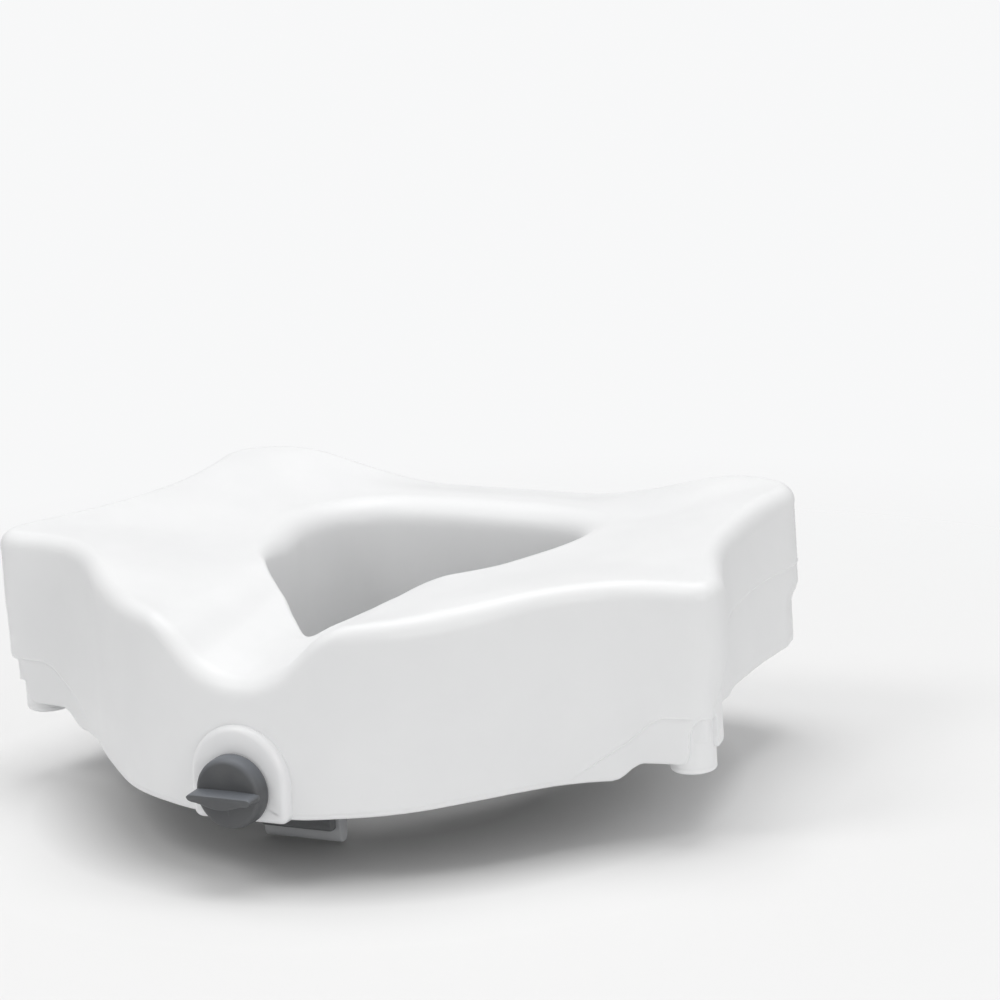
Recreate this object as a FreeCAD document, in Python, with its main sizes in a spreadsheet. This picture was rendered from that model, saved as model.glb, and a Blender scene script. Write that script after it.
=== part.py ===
import FreeCAD, Part
import os, math
import Sketcher
from FreeCAD import Vector as V3

# Raised toilet seat: a hollow seat shell held to the bowl by a front screw clamp
# and two rear hooks.
# Working frame: +X to the right as seen from the front, +Y to the rear, +Z up.
# The working origin is on the centre plane, at the front face line of the front
# ears, at the height of the ear tops. At the end every piece is moved by one
# vector that puts the origin at the centre of the bottom of the overall box.

doc = FreeCAD.newDocument("raised_toilet_seat")

# ---------------------------------------------------------------- dimensions
# (alias, value in mm). Seat depths ending in "_low" from flank to column are
# measured down from the ear tops; all other _low, _top and _z are Z positions.
# _front, _back, _rear and _end are Y positions.
DIMENSIONS = [
    # seat shell
    ("wall", 3.5), ("top_round", 9.0), ("hole_round", 7.0),
    ("flank_low", 88.0), ("nose_low", 109.0), ("ear_low", 99.0), ("foot_low", 100.0),
    ("foot_half_x", 150.0), ("foot_half_y", 143.0), ("foot_mid_y", 62.0),
    ("bay_half", 46.0), ("bay_front", -104.0), ("bay_rear", 30.0),
    # corner columns and their caps
    ("column_rad", 12.5), ("column_bore", 9.0),
    ("front_column_low", 105.0), ("rear_column_low", 91.6),
    ("front_column_x", 202.0), ("front_column_y", 16.0),
    ("rear_column_x", 164.8), ("rear_column_y", 203.8),
    ("notch_x", 207.5), ("notch_y", 16.5), ("notch_rad", 17.0),
    ("cap_thick", 3.0), ("cap_stem", 8.0), ("cap_round", 1.6),
    # lead screw
    ("screw_z", -93.0), ("screw_rad", 5.0), ("run_gap", 0.05),
    ("screw_front", -126.0), ("screw_end", -14.0), ("neck_rad", 4.0),
    ("end_cap_rad", 7.5), ("end_cap_nose_rad", 5.5),
    # knob
    ("knob_rad", 19.7), ("knob_back", -118.2), ("knob_face", -128.5),
    ("blade_front", -138.0), ("blade_half_len", 19.2), ("blade_half_thick", 4.4),
    ("blade_half_tip", 1.3), ("hub_rad", 8.0), ("hub_end", -105.0),
    # bezel
    ("bezel_half", 28.6), ("bezel_front", -117.0), ("bezel_back", -108.0),
    ("bezel_low", -111.4), ("bezel_top", -59.4), ("bezel_fit", 0.15),
    ("bezel_corner", 5.0), ("bezel_rim_round", 2.6),
    ("plug_half", 18.0), ("plug_back", -98.0), ("plug_top", -74.0), ("plug_low", -102.5),
    # washers and clip
    ("slip_rad", 13.0), ("slip_thick", 1.1), ("washer_gap", 0.25),
    ("inner_washer_rad", 10.0), ("inner_washer_thick", 1.2),
    ("clip_rad", 8.0), ("clip_thick", 1.2), ("clip_slot_half", 3.2),
    # jaw guide
    ("guide_front", -96.0), ("guide_rear", -42.0), ("guide_half", 31.0),
    ("guide_top", -80.0), ("guide_low", -99.0),
    ("guide_sheet", 2.5), ("guide_flange", 42.0), ("lip_in", 24.5),
    # jaw, its nut and its pad
    ("jaw_half", 27.4), ("jaw_front", -66.0), ("jaw_back", -44.0), ("jaw_low", -101.0),
    ("jaw_gap", 0.4), ("jaw_bore_gap", 0.6), ("jaw_leg_half", 23.5),
    ("leg_front", -54.0), ("leg_back", -45.0), ("leg_low", -142.0), ("pad_thick", 6.0),
    ("nut_half", 9.0), ("nut_front", -62.0), ("nut_back", -52.0), ("nut_half_height", 8.0),
    # rear hooks; hook_leg is the Y of the leg's front face
    ("hook_x", 46.0), ("hook_half", 17.0), ("hook_leg", 171.5), ("hook_leg_thick", 4.0),
    ("hook_plate_rear", 200.0), ("hook_low", -142.0),
    ("hook_pad_thick", 4.0), ("hook_pad_height", 30.0),
    # rim pads and vent plug
    ("rim_low", -103.0), ("rim_pad_half_x", 9.0), ("rim_pad_half_y", 22.0),
    ("stud_rad", 4.0), ("stud_len", 5.5),
    ("vent_rad", 6.0), ("vent_len", 7.0), ("vent_head_rad", 9.0), ("vent_head_thick", 1.6),
    # small screws
    ("screw_shank", 1.6), ("screw_head", 3.2), ("screw_clear", 0.2),
    ("pan_head", 2.0), ("sunk_head", 1.8),
]
sheet = doc.addObject("Spreadsheet::Sheet", "Dims")
for row, (alias, value) in enumerate(DIMENSIONS, 1):
    sheet.set("A%d" % row, alias)
    sheet.set("B%d" % row, repr(float(value)))
    sheet.setAlias("B%d" % row, alias)
doc.recompute()


def formula_of(value):
    return getattr(value, "formula", None)


class Size(float):
    """A number that carries the sheet expression it comes from through + - *."""

    def __new__(cls, value, formula):
        size = super().__new__(cls, value)
        size.formula = formula
        return size

    def _joined(self, sign, other, value):
        other_text = formula_of(other) or repr(float(other))
        return Size(value, "(%s) %s (%s)" % (self.formula, sign, other_text))

    def __add__(self, other):
        return self._joined("+", other, float(self) + float(other))

    def __mul__(self, other):
        return self._joined("*", other, float(self) * float(other))

    def __neg__(self):
        return self * -1.0

    def __sub__(self, other):
        return self + -other

    def __rsub__(self, other):
        return -self + other

    __radd__ = __add__
    __rmul__ = __mul__


class Dimensions:
    """dim.alias gives that cell of the sheet as a Size."""

    def __getattr__(self, alias):
        return Size(float(sheet.get(alias)), "Dims." + alias)


dim = Dimensions()


# ---------------------------------------------------------------- places
SIDES = (1, -1)


def both_sides(x, rows):
    return [(side * x, row) for row in rows for side in SIDES]


RIM_PAD_AT = both_sides(124.0, (20.0, 118.0))       # x, y
GUIDE_SCREW_AT = both_sides(37.0, (-88.0, -50.0))   # x, y
BEZEL_SCREW_AT = both_sides(23.6, (-80.0, -98.0))   # x, z
BEZEL_SCREW_SEAT_Y = -104.9
VENT_X, VENT_Y = 0.0, 190.0
HOOK_SCREW_Y = 189.0
HOOK_SCREW_OFFSETS = (-9.0, 9.0)                    # from the hook's centre, along X
HOOK_SCREW_AT = [(side * dim.hook_x + offset, HOOK_SCREW_Y)
                 for side in SIDES for offset in HOOK_SCREW_OFFSETS]

FLANK_Z, NOSE_Z = -dim.flank_low, -dim.nose_low
EAR_Z, FOOT_Z = -dim.ear_low, -dim.foot_low

# x, y, bottom z of the cap, z where the column ends in the shell, z of the bore's end
COLUMNS = [
    (dim.front_column_x, dim.front_column_y, -dim.front_column_low, -60.0, -86.0),
    (dim.rear_column_x, dim.rear_column_y, -dim.rear_column_low, -40.0, -70.0),
]

UPWARD = FreeCAD.Rotation()
TO_FRONT = FreeCAD.Rotation(V3(1, 0, 0), 90)        # turns +Z to -Y

# label: (object, lift); pieces drawn about the screw axis are lifted to it
PIECES = {}


def keep(piece, label, lift=0.0):
    piece.Label = label
    PIECES[label] = (piece, lift)


# ---------------------------------------------------------------- document helpers
def drive(feature, prop, value):
    """Sets a property and binds it when the value comes from the sheet."""
    setattr(feature, prop, float(value))
    if formula_of(value):
        feature.setExpression(prop, formula_of(value))


def new_body(name):
    return doc.addObject("PartDesign::Body", name)


def sketch(body, name, role, offset=None):
    """Sketch on an origin plane. The XZ plane's normal is -Y, so its offset is -y."""
    drawing = body.newObject("Sketcher::SketchObject", name)
    plane = next(f for f in body.Origin.OriginFeatures if f.Role == role)
    drawing.AttachmentSupport = [(plane, "")]
    drawing.MapMode = "FlatFace"
    if offset is not None:
        drawing.AttachmentOffset = FreeCAD.Placement(V3(0, 0, offset), FreeCAD.Rotation())
        if formula_of(offset):
            drawing.setExpression("AttachmentOffset.Base.z", "(%s)" % formula_of(offset))
    return drawing


def constrain(drawing, value, kind, *where):
    index = drawing.addConstraint(Sketcher.Constraint(kind, *where, float(value)))
    if formula_of(value):
        drawing.setExpression("Constraints[%d]" % index, formula_of(value))


def pin(drawing, shape, point, x, y):
    """Fixes one point of a sketch shape, with positive distances only."""
    for kind, value, axis in (("DistanceX", x, -2), ("DistanceY", y, -1)):
        if abs(value) < 1e-9 and not formula_of(value):
            drawing.addConstraint(Sketcher.Constraint("PointOnObject", shape, point, axis))
        elif value >= 0:
            constrain(drawing, value, kind, -1, 1, shape, point)
        else:
            constrain(drawing, -value, kind, shape, point, -1, 1)


def polygon(drawing, points):
    first = drawing.GeometryCount
    count = len(points)
    for i in range(count):
        start, end = points[i], points[(i + 1) % count]
        line = Part.LineSegment(V3(start[0], start[1], 0), V3(end[0], end[1], 0))
        drawing.addGeometry(line, False)
    for i in range(count):
        drawing.addConstraint(
            Sketcher.Constraint("Coincident", first + i, 2, first + (i + 1) % count, 1))
    for i, (x, y) in enumerate(points):
        pin(drawing, first + i, 1, x, y)


def mirrored_polygon(drawing, right):
    polygon(drawing, right + [(-x, z) for x, z in reversed(right)])


def rectangle(drawing, x0, x1, y0, y1):
    polygon(drawing, [(x0, y0), (x1, y0), (x1, y1), (x0, y1)])


def circle(drawing, x, y, radius):
    index = drawing.addGeometry(Part.Circle(V3(x, y, 0), V3(0, 0, 1), float(radius)), False)
    pin(drawing, index, 3, x, y)
    constrain(drawing, radius, "Radius", index)


def extruded(kind, body, drawing, length, reverse, mid, name):
    feature = body.newObject("PartDesign::" + kind, body.Name + name)
    feature.Profile = drawing
    drive(feature, "Length", length)
    feature.Reversed = reverse
    feature.Midplane = mid
    doc.recompute()


def pad(body, drawing, length, reverse=False, mid=False, name="Pad"):
    """Adds along the sketch normal."""
    extruded("Pad", body, drawing, length, reverse, mid, name)


def pocket(body, drawing, length, reverse=False, mid=False, name="Pocket"):
    """Cuts against the sketch normal."""
    extruded("Pocket", body, drawing, length, reverse, mid, name)


def revolve(body, drawing):
    """Turns a YZ sketch about the Y axis."""
    feature = body.newObject("PartDesign::Revolution", body.Name + "Rev")
    feature.Profile = drawing
    feature.ReferenceAxis = (drawing, ["H_Axis"])
    feature.Angle = 360.0
    doc.recompute()


def fillet(body, edges, radius, name):
    base = body.Tip
    feature = body.newObject("PartDesign::Fillet", body.Name + name)
    feature.Base = (base, edges)
    drive(feature, "Radius", radius)
    doc.recompute()


def edges_where(shape, test):
    return ["Edge%d" % (i + 1) for i, edge in enumerate(shape.Edges) if test(edge.BoundBox)]


def edges_at_y(shape, y):
    return edges_where(shape, lambda b: abs(b.YMin - y) < 1e-3 and abs(b.YMax - y) < 1e-3)


def block(name, corner, length, width, height):
    feature = doc.addObject("Part::Box", name)
    drive(feature, "Length", length)
    drive(feature, "Width", width)
    drive(feature, "Height", height)
    feature.Placement.Base = V3(*corner)
    return feature


def cylinder(name, base, radius, height, rotation=UPWARD):
    feature = doc.addObject("Part::Cylinder", name)
    drive(feature, "Radius", radius)
    drive(feature, "Height", height)
    feature.Placement = FreeCAD.Placement(V3(*base), rotation)
    return feature


def combine(kind, name, base, tool):
    feature = doc.addObject("Part::" + kind, name)
    feature.Base = base
    feature.Tool = tool
    return feature


def keep_group(name, label, members):
    group = doc.addObject("Part::Compound", name)
    group.Links = members
    keep(group, label)


# ---------------------------------------------------------------- seat shell outlines
# Half outlines (x, y) from the rear to the front, on the +X side.
OUTER = [
    (0, 226), (60, 226.2), (118, 226.6), (148, 225.4), (164, 222), (175.5, 215.5),
    (182.5, 205.5), (184, 194), (182.6, 182), (181.6, 166), (182, 146), (184.2, 127),
    (187.3, 108), (192, 90), (198.6, 72), (206.4, 55), (214.6, 38), (219.6, 28),
    (222, 18), (221, 9), (216, 3.6), (208, 1.4), (195, 0.6), (183, -1.2), (172, -4.6),
    (162, -10.5), (152, -18.5), (141.5, -29), (125, -48.5), (108.5, -65.5), (94, -79.5),
    (79, -92), (62, -101), (42, -107.6), (21, -111), (0, -112),
]
# wall of the opening, which is pointed at the front
OPENING = [
    (0, 172.5), (30, 172), (54, 169), (72, 160.5), (83, 146), (88, 127), (87, 108),
    (83, 90), (77, 71), (70.5, 52), (63.5, 36), (56, 23.5), (47.5, 13), (38.5, 5),
    (31, -1.5), (25, -8), (19.5, -14.5), (13.5, -21), (7, -27.5), (0, -31),
]
# line round the opening where the dish of the top reaches its inner depth
DISH_LINE = [
    (0, 181), (30, 180.5), (58, 177), (78, 167), (91, 150), (96.5, 129), (95.6, 108),
    (91.5, 90), (86, 71), (79, 50), (70, 30), (60, 10), (52, -10), (47, -30), (45, -60),
    (44, -96),
]


def closed_curve(points):
    curve = Part.BSplineCurve()
    curve.interpolate(points, PeriodicFlag=True)
    return curve


def ring(half, shift=0.0):
    """Closed smooth wire through a half outline and its mirror, moved outward by shift."""
    points = [V3(x, y, 0) for x, y in half]
    # the first and last points lie on the centre line and appear once each
    points += [V3(-x, y, 0) for x, y in reversed(half) if x > 1e-6]
    curve = closed_curve(points)
    if shift:
        moved = []
        for point in points:
            along = curve.tangent(curve.parameter(point))[0]
            moved.append(V3(point.x - along.y * shift, point.y + along.x * shift, 0))
        curve = closed_curve(moved)
    return Part.Wire([curve.toShape()])


def distance_to(x, y, line):
    """Shortest distance from a point to a chain of straight segments."""
    best = 1e9
    for (ax, ay), (bx, by) in zip(line[:-1], line[1:]):
        dx, dy = bx - ax, by - ay
        share = ((x - ax) * dx + (y - ay) * dy) / (dx * dx + dy * dy)
        share = max(0.0, min(1.0, share))
        best = min(best, math.hypot(x - ax - share * dx, y - ay - share * dy))
    return best


def smooth(share):
    share = max(0.0, min(1.0, share))
    return share * share * (3 - 2 * share)


def top_z(x, y):
    """Height of the dished top: a blend from the outer rim to the dish line."""
    x = abs(x)
    to_rim = distance_to(x, y, OUTER)
    to_dish = distance_to(x, y, DISH_LINE)
    inward = smooth(to_rim / (to_rim + to_dish + 1e-6))
    # depth of the rim: the rear middle and the nose sag, the rear corners rise
    rear_sag = 16.0 * (1 - smooth((x - 45.0) / 105.0)) * smooth((y - 150.0) / 60.0)
    nose_sag = 4.0 * smooth((-y - 20.0) / 60.0)
    lift = 1.5 * smooth((x - 95.0) / 45.0) * smooth((y - 130.0) / 60.0)
    rim_depth = rear_sag + nose_sag - lift
    dish_depth = 10.5 + 2.5 * smooth((y - 110) / 60.0)
    return -(dish_depth * inward + rim_depth * (1 - inward))


def dish_tool(drop):
    """Solid above the dished top, lowered by drop."""
    x_count, y_count = 41, 33
    rows = []
    for i in range(x_count):
        x = -236.0 + 472.0 * i / (x_count - 1)
        ys = [-128.0 + 368.0 * j / (y_count - 1) for j in range(y_count)]
        rows.append([V3(x, y, top_z(x, y) - drop) for y in ys])
    surface = Part.BSplineSurface()
    surface.approximate(Points=rows, DegMin=3, DegMax=5, Continuity=2, Tolerance=0.15)
    return surface.toShape().extrude(V3(0, 0, 60))


def trough(grow):
    """Channel from the front edge to the opening, rising rearward, widened by grow."""
    half, edge_z, lid_z, front_y = 64, 6, 40, -128.0
    right = [(13, -37.5 - 0.9 * grow), (27 + 0.7 * grow, -31.5 - 0.5 * grow),
             (40 + grow, -19), (50 + grow, -9), (half, edge_z)]
    section = [(-x, z) for x, z in reversed(right)] + [(0, -39.2 - grow)] + right
    curve = Part.BSplineCurve()
    curve.interpolate([V3(x, front_y, z) for x, z in section])
    lid = [V3(half, front_y, edge_z), V3(half, front_y, lid_z),
           V3(-half, front_y, lid_z), V3(-half, front_y, edge_z)]
    lines = [Part.LineSegment(a, b).toShape() for a, b in zip(lid[:-1], lid[1:])]
    return Part.Face(Part.Wire([curve.toShape()] + lines)).extrude(V3(0, 150.0, 17.5))


# ---------------------------------------------------------------- seat shell solids
def prism(wire, z0, z1):
    face = Part.Face(wire)
    face.translate(V3(0, 0, z0))
    return face.extrude(V3(0, 0, z1 - z0))


def box(x0, x1, y0, y1, z0, z1):
    return Part.makeBox(x1 - x0, y1 - y0, z1 - z0, V3(x0, y0, z0))


def rod(x, y, z0, z1, radius):
    return Part.makeCylinder(radius, z1 - z0, V3(x, y, z0), V3(0, 0, 1))


def rounded(body, edges, radius):
    # The kernel may refuse a radius on these free-form edges or give a broken
    # solid; then a smaller radius is tried, and at last the edges stay sharp.
    for share in (1.0, 0.75, 0.5, 0.25):
        try:
            result = body.makeFillet(float(radius) * share, edges)
            if (result.isValid() and len(result.Solids) == 1
                    and abs(result.Volume - body.Volume) < 0.1 * body.Volume):
                return result
        except Exception:
            pass
    return body


def upper_edges(body):
    return [edge for edge in body.Edges if edge.BoundBox.ZMin > -60 and edge.Length > 1]


def shell_blank():
    """Full-depth block with the dished top, the trough and the opening."""
    body = prism(ring(OUTER), NOSE_Z, 8.0).cut(dish_tool(0.0))
    body = rounded(body, upper_edges(body), dim.top_round)
    opening = prism(ring(OPENING), NOSE_Z - 5, 20.0)
    body = body.cut(trough(0.0)).cut(opening)
    inner = []
    for edge in upper_edges(body):
        limits = edge.BoundBox
        if abs(limits.XMax) < 95 and limits.YMax < 176 and limits.YMin > -118:
            inner.append(edge)
    return rounded(body, inner, dim.hole_round)


def step_underside(body):
    """Skirt lowest round the nose, higher at the ears, highest at flanks and rear;
    an elliptical foot stands below the flanks' level."""
    ellipse = Part.Ellipse(V3(0, dim.foot_mid_y, 0), dim.foot_half_x, dim.foot_half_y)
    foot = prism(Part.Wire([ellipse.toShape()]), FOOT_Z, FLANK_Z + 10)
    body = body.cut(prism(ring(OUTER, -dim.wall), NOSE_Z - 1, FLANK_Z).cut(foot))
    body = body.cut(box(-300, 300, 26, 300, NOSE_Z - 2, FLANK_Z).cut(foot))
    for side in SIDES:
        x0, x1 = sorted((side * 172.0, side * 260.0))
        body = body.cut(box(x0, x1, -60, 27, NOSE_Z - 2, EAR_Z))
    return body


def add_columns(body):
    """Corner columns; the front ones stand in round notches."""
    for side in SIDES:
        body = body.cut(rod(side * dim.notch_x, dim.notch_y, NOSE_Z - 5, -74.0, dim.notch_rad))
        for x, y, low, top, _ in COLUMNS:
            body = body.fuse(rod(side * x, y, low + dim.cap_thick, top, dim.column_rad))
    return body


def inner_void():
    """Hollow of the ring, one wall thickness inside every outer face."""
    wall, void_top = dim.wall, 4.0
    void = prism(ring(OUTER, -wall), FLANK_Z + wall, void_top)
    void = void.cut(dish_tool(wall)).cut(trough(wall))
    void = void.cut(prism(ring(OPENING, wall), NOSE_Z - 5, 20.0))
    for side in SIDES:
        for x, y, _, _, _ in COLUMNS:
            void = void.cut(rod(side * x, y, NOSE_Z, void_top, dim.column_rad))
    # the roof and walls of the clamp bay keep their thickness
    bay_wall = dim.bay_half + wall
    return void.cut(box(-bay_wall, bay_wall, -120, 34, NOSE_Z, dim.guide_top + wall + 4))


def cut_bezel_seat(body):
    """Arched recess for the bezel's flange and a square hole for its plug."""
    fit = dim.bezel_fit
    half = dim.bezel_half + fit
    front, back = dim.bezel_front - 5, dim.bezel_back
    centre_z = dim.bezel_top - dim.bezel_half
    arch = box(-half, half, front, back, dim.bezel_low - fit, centre_z)
    arch = arch.fuse(
        Part.makeCylinder(half, back - front, V3(0, front, centre_z), V3(0, 1, 0)))
    body = body.cut(arch.removeSplitter())
    half = dim.plug_half + fit
    return body.cut(box(-half, half, -125, dim.plug_back + 4,
                        dim.plug_low - fit, dim.plug_top + fit))


def shell_holes():
    """Holes for the rim pad studs, the vent plug and the small screws."""
    shank, roof = dim.screw_shank, dim.guide_top
    holes = [rod(x, y, FOOT_Z - 1, FOOT_Z + dim.stud_len, dim.stud_rad) for x, y in RIM_PAD_AT]
    holes.append(rod(VENT_X, VENT_Y, FOOT_Z - 1, FLANK_Z + dim.wall + 2, dim.vent_rad))
    holes += [rod(x, y, roof - 1, roof + 7.0, shank) for x, y in GUIDE_SCREW_AT]
    holes += [rod(x, y, FOOT_Z - 1, FOOT_Z + 9.0, shank) for x, y in HOOK_SCREW_AT]
    holes += [Part.makeCylinder(shank, 12.0, V3(x, dim.bezel_back - 5, z), V3(0, 1, 0))
              for x, z in BEZEL_SCREW_AT]
    return holes


def make_seat_shell():
    body = add_columns(step_underside(shell_blank()))
    body = body.cut(inner_void())
    body = body.cut(box(-dim.bay_half, dim.bay_half, dim.bay_front, dim.bay_rear,
                        FOOT_Z - 2, dim.guide_top))
    for side in SIDES:
        for x, y, _, _, bore_top in COLUMNS:
            body = body.cut(rod(side * x, y, NOSE_Z - 5, bore_top, dim.column_bore))
    body = cut_bezel_seat(body).cut(shell_holes())
    shell = doc.addObject("Part::Feature", "SeatShell")
    shell.Shape = body
    keep(shell, "seat_shell")


# ---------------------------------------------------------------- knob and lead screw
def make_knob():
    """Disc with a bevelled face edge, a hub that runs in the bezel and a finger blade."""
    body = new_body("Knob")
    profile = sketch(body, "KnobProfile", "YZ_Plane")
    face, back, radius = dim.knob_face, dim.knob_back, dim.knob_rad
    polygon(profile, [
        (face, 0.0), (face, radius - 3.2), (face + 1.0, radius - 1.4), (face + 3.0, radius),
        (back, radius), (back, dim.hub_rad), (dim.hub_end, dim.hub_rad), (dim.hub_end, 0.0)])
    revolve(body, profile)
    # blade across the face, thicker in the middle, rooted inside the disc
    root = face + 2.0
    blade = sketch(body, "BladeProfile", "XZ_Plane", -root)
    length, thick, tip = dim.blade_half_len, dim.blade_half_thick, dim.blade_half_tip
    lower = [(-length, -tip), (length * -0.55, thick * -0.72), (length * -0.2, -thick),
             (length * 0.2, -thick), (length * 0.55, thick * -0.72), (length, -tip)]
    polygon(blade, lower + [(-x, -z) for x, z in lower])
    pad(body, blade, root - dim.blade_front, name="Blade")
    # blind bore for the lead screw, cut from just behind the hub
    bore_start = dim.hub_end + 1.0
    bore = sketch(body, "KnobBore", "XZ_Plane", -bore_start)
    circle(bore, 0.0, 0.0, dim.screw_rad)
    pocket(body, bore, bore_start - dim.screw_front, reverse=True, name="Bore")
    keep(body, "front_knob", dim.screw_z)


# the clip's groove in the screw starts at the rear face of the inner washer
CLIP_FRONT = dim.plug_back + dim.inner_washer_thick


def make_lead_screw():
    body = new_body("Screw")
    profile = sketch(body, "ScrewProfile", "YZ_Plane")
    radius, neck, end = dim.screw_rad, dim.neck_rad, dim.screw_end
    clip_back = CLIP_FRONT + dim.clip_thick
    polygon(profile, [
        (dim.screw_front, 0.0), (dim.screw_front, radius), (CLIP_FRONT, radius),
        (CLIP_FRONT, neck), (clip_back, neck), (clip_back, radius),
        (end - 1.0, radius), (end, radius - 1.0), (end, 0.0)])
    revolve(body, profile)
    keep(body, "lead_screw", dim.screw_z)


def make_washer(name, label, front, thick, outer, inner):
    """Flat ring about the screw axis; the bore tool overshoots both faces."""
    overshoot = 1.0
    back = front + thick
    disc = cylinder(name + "Out", (0, back, 0), outer, thick, TO_FRONT)
    bore = cylinder(name + "In", (0, back + overshoot, 0), inner, thick + 2 * overshoot,
                    TO_FRONT)
    washer = combine("Cut", name, disc, bore)
    doc.recompute()
    keep(washer, label, dim.screw_z)


def make_clip():
    """Ring in the screw's groove, slotted open at the bottom."""
    body = new_body("Clip")
    outline = sketch(body, "ClipProfile", "XZ_Plane", -CLIP_FRONT)
    circle(outline, 0.0, 0.0, dim.clip_rad)
    pad(body, outline, dim.clip_thick, reverse=True)
    cut_depth = 12.0
    bore = sketch(body, "ClipBore", "XZ_Plane", -CLIP_FRONT + 1)
    circle(bore, 0.0, 0.0, dim.neck_rad)
    pocket(body, bore, cut_depth, mid=True, name="Bore")
    slot = sketch(body, "ClipSlot", "XZ_Plane", -CLIP_FRONT + 1)
    rectangle(slot, -dim.clip_slot_half, dim.clip_slot_half, -12.0, 0.01)
    pocket(body, slot, cut_depth, mid=True, name="Slot")
    keep(body, "retaining_ring", dim.screw_z)


def make_end_cap():
    """Cup over the rear end of the screw, bevelled at its rear edge."""
    body = new_body("EndCap")
    profile = sketch(body, "EndCapProfile", "YZ_Plane")
    end, radius = dim.screw_end, dim.screw_rad
    polygon(profile, [
        (end - 7.0, radius), (end - 7.0, dim.end_cap_rad), (end + 1.0, dim.end_cap_rad),
        (end + 3.0, dim.end_cap_nose_rad), (end + 3.0, 0.0), (end, 0.0), (end, radius)])
    revolve(body, profile)
    keep(body, "screw_end_cap", dim.screw_z)


# ---------------------------------------------------------------- bezel
def draw_arch(drawing):
    """Straight sides and bottom under a half circle."""
    half, low = dim.bezel_half, dim.bezel_low
    centre_z = dim.bezel_top - dim.bezel_half
    corners = [V3(-half, centre_z, 0), V3(-half, low, 0), V3(half, low, 0),
               V3(half, centre_z, 0)]
    for start, end in zip(corners[:-1], corners[1:]):
        drawing.addGeometry(Part.LineSegment(start, end), False)
    full = Part.Circle(V3(0, centre_z, 0), V3(0, 0, 1), float(half))
    drawing.addGeometry(Part.ArcOfCircle(full, 0.0, math.pi), False)
    for i in range(4):
        drawing.addConstraint(Sketcher.Constraint("Coincident", i, 2, (i + 1) % 4, 1))
    pin(drawing, 1, 1, -half, low)
    pin(drawing, 1, 2, half, low)
    pin(drawing, 3, 2, -half, centre_z)
    pin(drawing, 3, 3, 0.0, centre_z)
    drawing.addConstraint(Sketcher.Constraint("Horizontal", 3, 1, 3, 3))


def make_bezel():
    """Arched flange in the front wall with a square plug behind it."""
    body = new_body("Bezel")
    front, back = dim.bezel_front, dim.bezel_back
    face = sketch(body, "BezelFace", "XZ_Plane", -back)
    draw_arch(face)
    pad(body, face, back - front, name="Flange")
    lower_corners = edges_where(body.Shape, lambda b: (
        abs(b.XLength) < 1e-3 and abs(b.ZLength) < 1e-3 and b.ZMax < dim.bezel_low + 0.01))
    fillet(body, lower_corners, dim.bezel_corner, "Corner")
    fillet(body, edges_at_y(body.Shape, front), dim.bezel_rim_round, "Rim")

    plug = sketch(body, "BezelPlug", "XZ_Plane", -back)
    rectangle(plug, -dim.plug_half, dim.plug_half, dim.plug_low, dim.plug_top)
    pad(body, plug, dim.plug_back - back, reverse=True, name="Plug")

    # stepped bore: wide for the knob's hub, then narrow for the lead screw
    for name, radius, depth in (("HubBore", dim.hub_rad, dim.hub_end - front + 1.0),
                                ("ScrewBore", dim.screw_rad, 30.0)):
        bore = sketch(body, "Bezel" + name, "XZ_Plane", -front)
        circle(bore, 0.0, dim.screw_z, radius + dim.run_gap)
        pocket(body, bore, depth, name=name)

    # blind pilot holes for the bezel screws, from the back of the flange
    pilots = sketch(body, "BezelPilots", "XZ_Plane", -back)
    for x, z in BEZEL_SCREW_AT:
        circle(pilots, x, z, dim.screw_shank)
    pocket(body, pilots, 5.5, reverse=True, name="Pilots")
    keep(body, "knob_bezel")


# ---------------------------------------------------------------- jaw and its guide
def make_guide():
    """Channel open downward, with outward top flanges and inward bottom lips."""
    body = new_body("Guide")
    half, top, low, metal = dim.guide_half, dim.guide_top, dim.guide_low, dim.guide_sheet
    section = sketch(body, "GuideSection", "XZ_Plane", -dim.guide_rear)
    mirrored_polygon(section, [
        (dim.guide_flange, top), (dim.guide_flange, top - metal), (half, top - metal),
        (half, low), (dim.lip_in, low), (dim.lip_in, low + metal),
        (half - metal, low + metal), (half - metal, top - metal)])
    pad(body, section, dim.guide_rear - dim.guide_front, name="Channel")
    holes = sketch(body, "GuideHoles", "XY_Plane", top + 1.0)
    for x, y in GUIDE_SCREW_AT:
        circle(holes, x, y, dim.screw_shank + dim.screw_clear)
    pocket(body, holes, 5.0, name="Holes")
    keep(body, "jaw_guide")


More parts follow.
